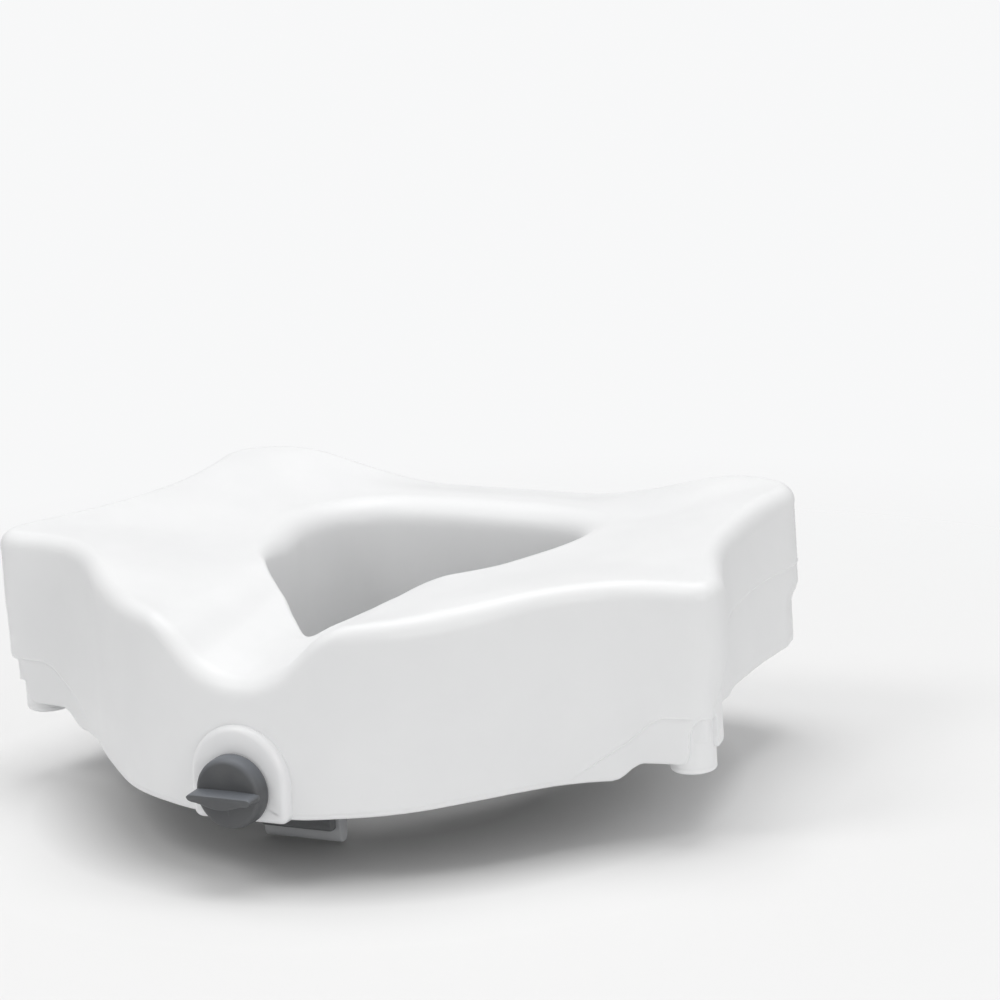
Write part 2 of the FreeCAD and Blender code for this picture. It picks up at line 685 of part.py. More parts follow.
def make_jaw():
    """Block that slides in the guide, with a leg reaching down behind the pad."""
    body = new_body("Jaw")
    inset = dim.guide_sheet + dim.jaw_gap
    top, shoulder = dim.guide_top - inset, dim.guide_low + inset
    section = sketch(body, "JawBlock", "XZ_Plane", -dim.jaw_back)
    mirrored_polygon(section, [
        (dim.jaw_half, top), (dim.jaw_half, shoulder),
        (dim.jaw_leg_half, shoulder), (dim.jaw_leg_half, dim.jaw_low)])
    pad(body, section, dim.jaw_back - dim.jaw_front, name="Block")

    leg = sketch(body, "JawLeg", "YZ_Plane")
    front, back, low, root = dim.leg_front, dim.leg_back, dim.leg_low, dim.jaw_low + 1.0
    polygon(leg, [(front, root), (front, low + 6.0), (front + 1.5, low),
                  (back - 1.0, low), (back, low + 4.0), (back + 1.0, root)])
    pad(body, leg, 2 * dim.jaw_leg_half, mid=True, name="Leg")

    nut = sketch(body, "JawNutPocket", "XZ_Plane", -dim.nut_back)
    rectangle(nut, -dim.nut_half, dim.nut_half,
              dim.screw_z - dim.nut_half_height, dim.screw_z + 11.0)
    pocket(body, nut, dim.nut_back - dim.nut_front, reverse=True, name="Nut")

    bore = sketch(body, "JawScrewBore", "XZ_Plane", -dim.jaw_front + 3.0)
    circle(bore, 0.0, dim.screw_z, dim.screw_rad + dim.jaw_bore_gap)
    pocket(body, bore, 60.0, name="Bore")
    keep(body, "clamp_jaw")


def make_nut():
    """Rectangular block nut held in the jaw."""
    half, half_height = dim.nut_half, dim.nut_half_height
    nut_block = block("NutBlock", (-half, dim.nut_front, -half_height),
                      2 * half, dim.nut_back - dim.nut_front, 2 * half_height)
    bore = cylinder("NutBore", (0, dim.nut_back + 5, 0), dim.screw_rad + dim.run_gap, 30.0,
                    TO_FRONT)
    keep(combine("Cut", "Nut", nut_block, bore), "clamp_nut", dim.screw_z)


def make_clamp_pad():
    """Pad on the front face of the jaw's leg."""
    body = new_body("ClampPad")
    half = dim.jaw_leg_half - 1.5
    face = sketch(body, "ClampPadFace", "XZ_Plane", -dim.leg_front)
    rectangle(face, -half, half, dim.leg_low + 8.0, dim.rim_low - 1.5)
    pad(body, face, dim.pad_thick, name="Slab")
    fillet(body, edges_at_y(body.Shape, dim.leg_front - dim.pad_thick), 2.0, "Soft")
    keep(body, "clamp_pad")


# ---------------------------------------------------------------- rear hooks
def make_hook(side, letter, label):
    """Angle: a plate under the foot and a leg hanging from its front edge."""
    body = new_body("Hook" + letter)
    centre = side * dim.hook_x
    section = sketch(body, "HookSection" + letter, "YZ_Plane", centre)
    front, rear, plate_low = dim.hook_leg, dim.hook_plate_rear, dim.rim_low
    leg_back = front + dim.hook_leg_thick
    polygon(section, [(front, FOOT_Z), (rear, FOOT_Z), (rear, plate_low),
                      (leg_back, plate_low), (leg_back, dim.hook_low), (front, dim.hook_low)])
    pad(body, section, 2 * dim.hook_half, mid=True, name="Angle")
    # through holes, then recesses for the heads in the plate's underside
    for name, start, radius, depth in (
            ("Holes", FOOT_Z + 1.0, dim.screw_shank, 8.0),
            ("Sinks", plate_low + dim.sunk_head, dim.screw_head, 4.0)):
        drawing = sketch(body, "Hook" + name + letter, "XY_Plane", start)
        for offset in HOOK_SCREW_OFFSETS:
            circle(drawing, centre + offset, HOOK_SCREW_Y, radius + dim.screw_clear)
        pocket(body, drawing, depth, name=name)
    keep(body, label)


def make_hook_pads():
    """Slabs on the rear faces of the hook legs."""
    pads = []
    for k, side in enumerate(SIDES):
        corner = (side * dim.hook_x - dim.hook_half + 1.5,
                  dim.hook_leg + dim.hook_leg_thick, dim.hook_low + 4.0)
        pads.append(block("HookPad%d" % k, corner, 2 * dim.hook_half - 3.0,
                          dim.hook_pad_thick, dim.hook_pad_height))
    keep_group("HookPads", "rear_hook_pads", pads)


# ---------------------------------------------------------------- pads, caps and plug
def make_rim_pads():
    """Blocks under the foot, each with a round stud up into the shell."""
    half_x, half_y = dim.rim_pad_half_x, dim.rim_pad_half_y
    pads = []
    for k, (x, y) in enumerate(RIM_PAD_AT):
        slab = block("PadBlock%d" % k, (x - half_x, y - half_y, dim.rim_low),
                     2 * half_x, 2 * half_y, FOOT_Z - dim.rim_low)
        stud = cylinder("PadStud%d" % k, (x, y, FOOT_Z - 1.0), dim.stud_rad,
                        dim.stud_len + 1.0)
        pads.append(combine("Fuse", "PadFuse%d" % k, slab, stud))
    keep_group("RimPads", "rim_pads", pads)


def make_column_caps():
    """Flat buttons rounded underneath, each with a stem up the column's bore."""
    overlap = 0.5
    caps = []
    places = [(side * x, y, low) for x, y, low, _, _ in COLUMNS for side in SIDES]
    for k, (x, y, z) in enumerate(places):
        disc = cylinder("CapDisc%d" % k, (x, y, z), dim.column_rad, dim.cap_thick)
        doc.recompute()
        button = doc.addObject("Part::Fillet", "CapRound%d" % k)
        button.Base = disc
        radius = float(dim.cap_round)
        button.Edges = [(n, radius, radius) for n, edge in enumerate(disc.Shape.Edges, 1)
                        if abs(edge.BoundBox.ZMax - z) < 1e-3]
        stem = cylinder("CapStem%d" % k, (x, y, z + dim.cap_thick - overlap),
                        dim.column_bore, dim.cap_stem + overlap)
        caps.append(combine("Fuse", "CapFuse%d" % k, button, stem))
    keep_group("ColumnCaps", "column_caps", caps)


def make_vent_plug():
    stem = cylinder("VentStem", (VENT_X, VENT_Y, FOOT_Z), dim.vent_rad, dim.vent_len)
    head = cylinder("VentHead", (VENT_X, VENT_Y, FOOT_Z - dim.vent_head_thick),
                    dim.vent_head_rad, dim.vent_head_thick)
    keep(combine("Fuse", "VentPlug", stem, head), "vent_plug")


# ---------------------------------------------------------------- small screws
def make_screws(name, label, places, shank_len, head_len, rotation=UPWARD):
    """Set of flat-headed plain pins; each place is where the head meets the shank."""
    overlap = 0.3
    screws = []
    for k, place in enumerate(places):
        head_at = V3(*place) + rotation.multVec(V3(0, 0, -head_len))
        shank_at = V3(*place) + rotation.multVec(V3(0, 0, -overlap))
        shank = cylinder("%sShank%d" % (name, k), shank_at, dim.screw_shank,
                         shank_len + overlap, rotation)
        head = cylinder("%sHead%d" % (name, k), head_at, dim.screw_head, head_len, rotation)
        screws.append(combine("Fuse", "%sFuse%d" % (name, k), head, shank))
    keep_group(name, label, screws)


# ---------------------------------------------------------------- build
make_seat_shell()
make_knob()
make_lead_screw()
make_washer("SlipWasher", "thrust_washer", front=dim.bezel_front - dim.slip_thick,
            thick=dim.slip_thick, outer=dim.slip_rad, inner=dim.hub_rad + dim.washer_gap)
make_washer("InnerWasher", "inner_washer", front=dim.plug_back,
            thick=dim.inner_washer_thick, outer=dim.inner_washer_rad,
            inner=dim.screw_rad + dim.washer_gap)
make_clip()
make_end_cap()
make_bezel()
make_guide()
make_jaw()
make_nut()
make_clamp_pad()
make_hook(1, "R", "rear_hook_right")
make_hook(-1, "L", "rear_hook_left")
make_hook_pads()
make_rim_pads()
make_column_caps()
make_vent_plug()
make_screws("GuideScrews", "guide_screws",
            [(x, y, dim.guide_top - dim.guide_sheet) for x, y in GUIDE_SCREW_AT],
            shank_len=9.0, head_len=dim.pan_head)
make_screws("HookScrews", "rear_hook_screws",
            [(x, y, dim.rim_low + dim.sunk_head) for x, y in HOOK_SCREW_AT],
            shank_len=9.2, head_len=dim.sunk_head)
make_screws("BezelScrews", "bezel_screws",
            [(x, BEZEL_SCREW_SEAT_Y, z) for x, z in BEZEL_SCREW_AT],
            shank_len=8.3, head_len=dim.pan_head, rotation=TO_FRONT)

doc.recompute()
for item in doc.Objects:
    if "Invalid" in item.State or "Error" in item.State:
        raise RuntimeError("object failed: %s %s" % (item.Name, item.State))

# ---------------------------------------------------------------- final frame and output
overall = FreeCAD.BoundBox()
for piece, lift in PIECES.values():
    lifted = piece.Shape.copy()
    lifted.translate(V3(0, 0, lift))
    overall.add(lifted.optimalBoundingBox(False, False))
move = V3(0.0, -round((overall.YMin + overall.YMax) / 2.0, 2), -round(overall.ZMin, 2))
for piece, lift in PIECES.values():
    old = piece.Placement
    piece.Placement = FreeCAD.Placement(old.Base + V3(0, 0, lift) + move, old.Rotation)
doc.recompute()

os.makedirs("parts", exist_ok=True)
for label, (piece, lift) in PIECES.items():
    if piece.Shape.isNull() or not piece.Shape.isValid():
        raise RuntimeError("bad shape: " + label)
    piece.Shape.exportStep("parts/%s.step" % label)
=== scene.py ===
"""Visual model of a raised toilet seat with a clamp at the front and hooks at the rear.

Shape numbers are millimetres in the design frame: x = 0 is the centre plane, y = 0 the
front face line of the front ears, z = 0 the ear tops. -y is the front, where the knob is,
and +x is the side called right. SHIFT takes design coordinates to the scene frame.
"""
import bpy
import bmesh
import math
import numpy as np
from mathutils import Vector, Matrix

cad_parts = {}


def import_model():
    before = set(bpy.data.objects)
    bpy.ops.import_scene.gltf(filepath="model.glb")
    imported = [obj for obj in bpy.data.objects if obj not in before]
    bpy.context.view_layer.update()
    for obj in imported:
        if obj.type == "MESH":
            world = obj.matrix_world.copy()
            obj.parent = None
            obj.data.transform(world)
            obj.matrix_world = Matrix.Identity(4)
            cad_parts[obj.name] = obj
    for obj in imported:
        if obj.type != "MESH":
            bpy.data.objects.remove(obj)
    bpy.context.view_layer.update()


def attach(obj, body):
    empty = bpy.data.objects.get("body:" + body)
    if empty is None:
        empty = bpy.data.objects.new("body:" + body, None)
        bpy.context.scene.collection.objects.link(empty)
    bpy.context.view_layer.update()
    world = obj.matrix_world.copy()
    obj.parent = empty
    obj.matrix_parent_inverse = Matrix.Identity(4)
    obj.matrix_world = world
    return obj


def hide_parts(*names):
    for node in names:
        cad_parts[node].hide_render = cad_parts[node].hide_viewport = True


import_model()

SHIFT = np.array([0.0, -44.3, 142.0])
SCREW_Z = -93.0                      # height of the knob and lead screw axis, at x = 0
FOOT_Z = -100.0                      # underside of the foot ring around the opening
HOOK_X = 46.0                        # distance of each rear hook from the centre plane
HOOK_SCREWS = [(side * HOOK_X + across, 189.0) for side in (1, -1) for across in (-9.0, 9.0)]
HOOK_SCREW_SEAT = -101.2
GUIDE_SCREWS = [(37, -88), (-37, -88), (37, -50), (-37, -50)]
# x, y, end z, full radius z, top z inside the shell, z of the cap's face
FRONT_COLUMN = (202.0, 16.0, -103.0, -100, -66, -105.0)
REAR_COLUMN = (164.8, 203.8, -88.0, -86, -60, -91.6)


def world(p):
    return (np.asarray(p, float) + SHIFT) * 0.001


# ------------------------------------------------------------------ mesh helpers
def new_object(name, data):
    ob = bpy.data.objects.new(name, data)
    bpy.context.scene.collection.objects.link(ob)
    return ob


def shade(ob, angle):
    """Smooth shading, with edges sharper than angle (degrees) kept sharp."""
    mesh = ob.data
    for face in mesh.polygons:
        face.use_smooth = True
    mesh.set_sharp_from_angle(angle=math.radians(angle))
    mesh.update()
    return ob


def from_bm(name, bm, angle=35.0, mesh=None):
    bmesh.ops.recalc_face_normals(bm, faces=bm.faces[:])
    mesh = mesh or bpy.data.meshes.new(name)
    bm.to_mesh(mesh)
    bm.free()
    return shade(new_object(name, mesh), angle)


def grid(name, pts, wrap_v=True, angle=35.0):
    """Closed surface through pts[u, v]. It wraps in u, and in v if wrap_v is set;
    otherwise a face closes each end ring."""
    U, V, _ = pts.shape
    iu = np.arange(U)
    ju = (iu + 1) % U
    faces = []
    for v in range(V if wrap_v else V - 1):
        w = (v + 1) % V
        faces.append(np.stack([iu * V + v, ju * V + v, ju * V + w, iu * V + w], 1))
    faces = np.concatenate(faces).tolist()
    if not wrap_v:
        faces.append((iu * V).tolist())
        faces.append((iu * V + V - 1)[::-1].tolist())
    mesh = bpy.data.meshes.new(name)
    mesh.from_pydata(world(pts.reshape(-1, 3)).tolist(), [], faces)
    bm = bmesh.new()
    bm.from_mesh(mesh)
    return from_bm(name, bm, angle, mesh)


def lathe(name, profile, centre=(0.0, SCREW_Z), axis="y", seg=64, angle=32.0, ring=False):
    """Turned part. profile lists (place along the axis, radius); a radius may be an array
    with one value per segment. centre is (x, z) for axis y and (x, y) for axis z.
    ring closes the profile on itself."""
    turn = np.linspace(0, 2 * np.pi, seg, endpoint=False)
    pts = np.zeros((seg, len(profile), 3))
    for k, (place, radius) in enumerate(profile):
        along = np.full(seg, place)
        sin, cos = radius * np.sin(turn), radius * np.cos(turn)
        if axis == "y":
            pts[:, k] = np.stack([centre[0] + sin, along, centre[1] + cos], 1)
        else:
            pts[:, k] = np.stack([centre[0] + cos, centre[1] + sin, along], 1)
    return grid(name, pts, wrap_v=ring, angle=angle)


def rod(start, end, radius, **options):
    return lathe("tool", [(start, radius), (end, radius)], **options)


def rounded_box(name, lo, hi, radius, cells, seg=4, shape=None):
    """Box with rounded edges. Each face is a grid with the given cells per axis, so that
    shape(point) can rib it."""
    lo, hi = np.array(lo, float), np.array(hi, float)
    rounding = np.sin(np.linspace(0, np.pi / 2, seg + 1)) * radius
    stations = []
    for k in range(3):
        flat = np.linspace(lo[k] + radius, hi[k] - radius, cells[k] + 1)[1:-1]
        stations.append(np.concatenate([lo[k] + radius - rounding[::-1], flat,
                                        hi[k] - radius + rounding]))
    bm = bmesh.new()
    for k in range(3):
        i, j = (k + 1) % 3, (k + 2) % 3
        for level in (lo[k], hi[k]):
            rows = []
            for u in stations[i]:
                row = []
                for v in stations[j]:
                    p = np.zeros(3)
                    p[i], p[j], p[k] = u, v, level
                    core = np.clip(p, lo + radius, hi - radius)
                    out = p - core
                    p = core + out / max(np.linalg.norm(out), 1e-9) * radius
                    row.append(bm.verts.new(world(shape(p) if shape else p)))
                rows.append(row)
            for near, far in zip(rows[:-1], rows[1:]):
                for b in range(len(near) - 1):
                    bm.faces.new((near[b], far[b], far[b + 1], near[b + 1]))
    bmesh.ops.remove_doubles(bm, verts=bm.verts[:], dist=2e-6)
    return from_bm(name, bm)


def prism(name, outline, plane, start, end, bevel=0.5):
    """Straight extrusion of an outline in plane "yz", "xz" or "xy" along the third axis."""
    bm = bmesh.new()
    ends = []
    for a in (start, end):
        row = []
        for u, v in outline:
            p = {"yz": (a, u, v), "xz": (u, a, v), "xy": (u, v, a)}[plane]
            row.append(bm.verts.new(world(p)))
        ends.append(row)
    n = len(outline)
    bm.faces.new(ends[0])
    bm.faces.new(ends[1][::-1])
    for i in range(n):
        j = (i + 1) % n
        bm.faces.new((ends[0][i], ends[0][j], ends[1][j], ends[1][i]))
    bmesh.ops.recalc_face_normals(bm, faces=bm.faces[:])
    if bevel > 0:
        sharp = [e for e in bm.edges
                 if len(e.link_faces) == 2 and e.calc_face_angle() > math.radians(28)]
        bmesh.ops.bevel(bm, geom=sharp, offset=bevel * 0.001, offset_type="OFFSET", segments=2,
                        profile=0.5, affect="EDGES", clamp_overlap=True)
    return from_bm(name, bm)


def rectangle(u0, u1, v0, v1):
    return [(u0, v0), (u1, v0), (u1, v1), (u0, v1)]


def mirrored(half):
    """Half outline followed by its mirror image in x = 0."""
    return half + [(-x, v) for x, v in reversed(half)]


def box_tool(lo, hi):
    return prism("tool", rectangle(lo[0], hi[0], lo[1], hi[1]), "xy", lo[2], hi[2], bevel=0)


def boolean(ob, tool, operation, angle=35.0):
    """Apply tool to ob and remove the tool."""
    modifier = ob.modifiers.new("cut", "BOOLEAN")
    modifier.operation = operation
    modifier.solver = "EXACT"
    modifier.object = tool
    depsgraph = bpy.context.evaluated_depsgraph_get()
    mesh = bpy.data.meshes.new_from_object(ob.evaluated_get(depsgraph))
    ob.modifiers.remove(modifier)
    ob.data = mesh
    bpy.data.objects.remove(tool, do_unlink=True)
    return shade(ob, angle)


def joined(name, parts):
    bm = bmesh.new()
    for part in parts:
        bm.from_mesh(part.data)
    for part in parts:
        bpy.data.objects.remove(part, do_unlink=True)
    return from_bm(name, bm)


def wave(place, origin, pitch, depth):
    """Depth of a cosine groove pattern, zero at the origin."""
    return depth * (0.5 - 0.5 * math.cos(2 * math.pi * (place - origin) / pitch))


# ------------------------------------------------------------------ materials
def new_material(name):
    material = bpy.data.materials.new(name)
    material.use_nodes = True
    tree = material.node_tree
    tree.nodes.clear()
    output = tree.nodes.new("ShaderNodeOutputMaterial")
    surface = tree.nodes.new("ShaderNodeBsdfPrincipled")
    tree.links.new(surface.outputs[0], output.inputs[0])
    coords = tree.nodes.new("ShaderNodeTexCoord")
    return material, tree, surface, coords, output


def mix_color(tree, factor, a, b):
    mix = tree.nodes.new("ShaderNodeMix")
    mix.data_type = "RGBA"
    mix.inputs["A"].default_value = (*a, 1.0)
    mix.inputs["B"].default_value = (*b, 1.0)
    tree.links.new(factor, mix.inputs["Factor"])
    return mix.outputs["Result"]


def noise(tree, coords, scale, detail, rough=0.55, stretch=None):
    node = tree.nodes.new("ShaderNodeTexNoise")
    node.inputs["Scale"].default_value = scale
    node.inputs["Detail"].default_value = detail
    node.inputs["Roughness"].default_value = rough
    source = coords.outputs["Object"]
    if stretch:
        mapping = tree.nodes.new("ShaderNodeMapping")
        mapping.inputs["Scale"].default_value = stretch
        tree.links.new(source, mapping.inputs["Vector"])
        source = mapping.outputs["Vector"]
    tree.links.new(source, node.inputs["Vector"])
    return node.outputs["Fac"]


def remap(tree, value, source, target=(0.0, 1.0)):
    """Map the source range of value to the target range."""
    node = tree.nodes.new("ShaderNodeMapRange")
    node.inputs["From Min"].default_value = source[0]
    node.inputs["From Max"].default_value = source[1]
    node.inputs["To Min"].default_value = target[0]
    node.inputs["To Max"].default_value = target[1]
    tree.links.new(value, node.inputs["Value"])
    return node.outputs["Result"]


def overlay(tree, base, colour, value, source, target):
    """Lay a plain colour over base, as strongly as the remapped value says."""
    mix = tree.nodes.new("ShaderNodeMix")
    mix.data_type = "RGBA"
    tree.links.new(remap(tree, value, source, target), mix.inputs["Factor"])
    tree.links.new(base, mix.inputs["A"])
    mix.inputs["B"].default_value = (*colour, 1.0)
    return mix.outputs["Result"]


def add_bump(tree, surface, height, strength, depth):
    bump = tree.nodes.new("ShaderNodeBump")
    bump.inputs["Strength"].default_value = strength
    bump.inputs["Distance"].default_value = depth * 0.001
    tree.links.new(height, bump.inputs["Height"])
    tree.links.new(bump.outputs["Normal"], surface.inputs["Normal"])


def plastic(name, colour, cloud_colour, rough, grain, cloud, grain_depth=0.02, subsurface=0.0,
            specular=0.5, speck=None, painted_edge_highlight=None, painted_top_light=None):
    """Moulded plastic: cloudy colour with fine grain.

    grain and cloud are noise scales and grain_depth is in mm. speck is (colour, scale,
    radius); the last two, a painted highlight on convex edges and painted light on faces
    that look up, are (colour, strength)."""
    material, tree, surface, coords, _ = new_material(name)
    clouds = remap(tree, noise(tree, coords, cloud, detail=5.0), source=(0.35, 0.65))
    result = mix_color(tree, clouds, colour, cloud_colour)
    if speck:
        speck_colour, scale, radius = speck
        cells = tree.nodes.new("ShaderNodeTexVoronoi")
        cells.inputs["Scale"].default_value = scale
        tree.links.new(coords.outputs["Object"], cells.inputs["Vector"])
        result = overlay(tree, result, speck_colour, cells.outputs["Distance"],
                         source=(0.0, radius), target=(1.0, 0.0))
    if painted_edge_highlight:
        # painted highlight: paler on convex edges
        geometry = tree.nodes.new("ShaderNodeNewGeometry")
        result = overlay(tree, result, painted_edge_highlight[0], geometry.outputs["Pointiness"],
                         source=(0.52, 0.60), target=(0.0, painted_edge_highlight[1]))
    if painted_top_light:
        # painted light from above: paler on faces that look up
        geometry = tree.nodes.new("ShaderNodeNewGeometry")
        split = tree.nodes.new("ShaderNodeSeparateXYZ")
        tree.links.new(geometry.outputs["Normal"], split.inputs[0])
        result = overlay(tree, result, painted_top_light[0], split.outputs["Z"],
                         source=(0.15, 0.95), target=(0.0, painted_top_light[1]))
    tree.links.new(result, surface.inputs["Base Color"])
    grain_height = noise(tree, coords, grain, detail=2.0, rough=0.5)
    roughness = remap(tree, noise(tree, coords, 60.0, detail=3.0), source=(0.3, 0.7),
                      target=(rough - 0.05, rough + 0.05))
    tree.links.new(roughness, surface.inputs["Roughness"])
    surface.inputs["Specular IOR Level"].default_value = specular
    if subsurface:
        surface.inputs["Subsurface Weight"].default_value = subsurface
        surface.inputs["Subsurface Radius"].default_value = (0.004, 0.004, 0.004)
        surface.inputs["Subsurface Scale"].default_value = 0.6
    add_bump(tree, surface, grain_height, strength=0.5, depth=grain_depth)
    return material


def metal(name, colour, cloud_colour, streak=(1.0, 1.0, 1.0)):
    """Metal with fine streaks; streak scales the noise along each axis."""
    rough = 0.30
    material, tree, surface, coords, _ = new_material(name)
    streaks = noise(tree, coords, 900.0, detail=3.0, rough=0.6, stretch=streak)
    clouds = remap(tree, noise(tree, coords, 40.0, detail=4.0), source=(0.35, 0.65))
    tree.links.new(mix_color(tree, clouds, colour, cloud_colour), surface.inputs["Base Color"])
    surface.inputs["Metallic"].default_value = 1.0
    roughness = remap(tree, streaks, source=(0.3, 0.7), target=(rough - 0.07, rough + 0.08))
    tree.links.new(roughness, surface.inputs["Roughness"])
    add_bump(tree, surface, streaks, strength=0.4, depth=0.01)
    return material


WHITE = plastic("white_shell", colour=(0.88, 0.885, 0.89), cloud_colour=(0.85, 0.855, 0.862),
                rough=0.42, grain=1500.0, grain_depth=0.035, cloud=9.0, subsurface=0.15,
                specular=0.42)
COVER = plastic("white_cover", colour=(0.89, 0.893, 0.90), cloud_colour=(0.86, 0.865, 0.875),
                rough=0.34, grain=1900.0, cloud=22.0, subsurface=0.1)
# the grey knob carries a painted highlight on its convex edges and painted light on faces that
# look up
GREY = plastic("grey_knob", colour=(0.094, 0.097, 0.101), cloud_colour=(0.080, 0.083, 0.088),
               rough=0.5, grain=1300.0, grain_depth=0.05, cloud=60.0,
               painted_edge_highlight=((0.17, 0.18, 0.19), 0.5), painted_top_light=((0.165, 0.178, 0.20), 0.8))
NYLON = plastic("nylon", colour=(0.78, 0.76, 0.70), cloud_colour=(0.73, 0.71, 0.65),
                rough=0.38, grain=2200.0, cloud=80.0, subsurface=0.1)
GUIDE = plastic("guide_plastic", colour=(0.56, 0.57, 0.58), cloud_colour=(0.50, 0.51, 0.53),
                rough=0.45, grain=1700.0, grain_depth=0.04, cloud=30.0)
RUBBER = plastic("grey_rubber", colour=(0.20, 0.205, 0.21), cloud_colour=(0.165, 0.17, 0.175),
                 rough=0.8, grain=1200.0, grain_depth=0.08, cloud=50.0, specular=0.3,
                 speck=((0.26, 0.265, 0.27), 900.0, 0.10))
STEEL = metal("zinc_steel", colour=(0.62, 0.63, 0.64), cloud_colour=(0.55, 0.56, 0.58),
              streak=(1.0, 0.08, 1.0))
BRASS = metal("brass", colour=(0.72, 0.55, 0.27), cloud_colour=(0.62, 0.46, 0.22))


def piece(ob, body, material, replaced):
    ob.data.materials.clear()
    ob.data.materials.append(material)
    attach(ob, body)
    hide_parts(replaced)


# ------------------------------------------------------------------ seat plan
# Right halves, (x, y), from the rear centre to the front centre
OUTER_HALF = [
    (0, 226), (60, 226.2), (118, 226.6), (148, 225.4), (164, 222), (175.5, 215.5),
    (182.5, 205.5), (184, 194), (182.6, 182), (181.6, 166), (182, 146), (184.2, 127),
    (187.3, 108), (192, 90), (198.6, 72), (206.4, 55), (214.6, 38), (219.6, 28), (222, 18),
    (221, 9), (216, 3.6), (208, 1.4), (195, 0.6), (183, -1.2), (172, -4.6), (162, -10.5),
    (152, -18.5), (141.5, -29), (125, -48.5), (108.5, -65.5), (94, -79.5), (79, -92),
    (62, -101), (42, -107.6), (21, -111), (0, -112)]
OPENING_HALF = [
    (0, 172.5), (30, 172), (54, 169), (72, 160.5), (83, 146), (88, 127), (87, 108), (83, 90),
    (77, 71), (70.5, 52), (63.5, 36), (56, 23.5), (47.5, 13), (38.5, 5), (31, -1.5), (25, -8),
    (19.5, -14.5), (13.5, -21), (7, -27.5), (0, -31)]
# Highest line of the top between opening and outline
CREST_HALF = [
    (0, 181), (30, 180.5), (58, 177), (78, 167), (91, 150), (96.5, 129), (95.6, 108),
    (91.5, 90), (86, 71), (79, 50), (70, 30), (60, 10), (52, -10), (47, -30), (45, -60),
    (44, -96)]
# Cross-section of the trough down the nose: (distance from the centre plane, z)
TROUGH_SECTION = [(0, -39.2), (13, -37.5), (27, -31.5), (40, -19), (50, -9), (64, 6), (90, 34)]


def smoothstep(q):
    q = np.clip(q, 0.0, 1.0)
    return q * q * (3 - 2 * q)


def gaussian(reach, sigma):
    k = np.arange(-reach, reach + 1)
    weights = np.exp(-0.5 * (k / sigma) ** 2)
    return weights / weights.sum()


class Loop:
    """Periodic cubic spline through a half outline and its mirror image."""

    def __init__(self, half, n=16000):
        P = np.array(half + [(-x, y) for x, y in reversed(half) if x > 1e-6], float)
        count = len(P)
        h = np.linalg.norm(np.roll(P, -1, 0) - P, axis=1)
        system = np.zeros((count, count))
        right_side = np.zeros((count, 2))
        for i in range(count):
            j = (i + 1) % count
            before, after = h[i - 1], h[i]
            system[i, i - 1] += before / 6
            system[i, i] += (before + after) / 3
            system[i, j] += after / 6
            right_side[i] = (P[j] - P[i]) / after - (P[i] - P[i - 1]) / before
        M = np.linalg.solve(system, right_side)      # second derivatives at the knots
        knots = np.concatenate([[0], np.cumsum(h)])
        t = np.linspace(0, knots[-1], n, endpoint=False)
        k = np.clip(np.searchsorted(knots, t, side="right") - 1, 0, count - 1)
        m = (k + 1) % count
        hk = h[k][:, None]
        u = (t - knots[k])[:, None]
        v = hk - u
        self.points = ((M[k] * v ** 3 + M[m] * u ** 3) / (6 * hk)
                       + (P[k] / hk - M[k] * hk / 6) * v + (P[m] / hk - M[m] * hk / 6) * u)
        d = np.roll(self.points, -1, 0) - np.roll(self.points, 1, 0)
        self.tangents = d / np.linalg.norm(d, axis=1)[:, None]
        steps = np.linalg.norm(np.roll(self.points, -1, 0) - self.points, axis=1)
        self.arc = np.concatenate([[0], np.cumsum(steps)])
        self.length = self.arc[-1]

    def at(self, s):
        """Points and unit tangents at arc positions s."""
        s = np.mod(s, self.length)
        p, t = [
            np.stack([np.interp(s, self.arc, np.append(a[:, k], a[0, k])) for k in range(2)], 1)
            for a in (self.points, self.tangents)]
        return p, t / np.linalg.norm(t, axis=1)[:, None]

    def where(self, x, y):
        """Arc position of the point nearest to (x, y)."""
        return self.arc[np.argmin((self.points[:, 0] - x) ** 2 + (self.points[:, 1] - y) ** 2)]


OUTLINE, OPENING = Loop(OUTER_HALF), Loop(OPENING_HALF)


# ------------------------------------------------------------------ height of the seat's top
def path_distance(X, Y, path):
    best = np.full(X.shape, 1e9)
    for (ax, ay), (bx, by) in zip(path[:-1], path[1:]):
        dx, dy = bx - ax, by - ay
        q = np.clip(((X - ax) * dx + (Y - ay) * dy) / (dx * dx + dy * dy), 0, 1)
        best = np.minimum(best, np.hypot(X - ax - q * dx, Y - ay - q * dy))
    return best


def blur(Z, sigma):
    reach = int(3 * sigma) + 1
    for axis in (0, 1):
        pad = [(0, 0), (0, 0)]
        pad[axis] = (reach, reach)
        padded = np.pad(Z, pad, mode="edge")
        Z = sum(weight * np.take(padded, range(i, i + Z.shape[axis]), axis=axis)
                for i, weight in enumerate(gaussian(reach, sigma)))
    return Z


HEIGHT_STEP = 1.5
HEIGHT_X = np.arange(-252, 252.1, HEIGHT_STEP)
HEIGHT_Y = np.arange(-144, 258.1, HEIGHT_STEP)


def dish_heights(X, Y):
    """Pan that falls from the crest to the outline, with a sagging rear edge."""
    half = OUTLINE.points[OUTLINE.points[:, 0] >= 0][::40]
    to_outline = path_distance(X, Y, np.vstack([half, OUTER_HALF[-1]]))
    to_crest = path_distance(X, Y, CREST_HALF)
    inward = smoothstep(to_outline / (to_outline + to_crest + 1e-6))
    rear_sag = 16.0 * (1 - smoothstep((X - 45.0) / 105.0)) * smoothstep((Y - 150.0) / 60.0)
    nose_sag = 4.0 * smoothstep((-Y - 20.0) / 60.0)
    crest = 10.5 + 2.5 * smoothstep((Y - 110) / 60.0)
    ear_lift = 1.5 * smoothstep((X - 95.0) / 45.0) * smoothstep((Y - 130.0) / 60.0)
    return blur(-(crest * inward + (rear_sag + nose_sag - ear_lift) * (1 - inward)), 2.6)


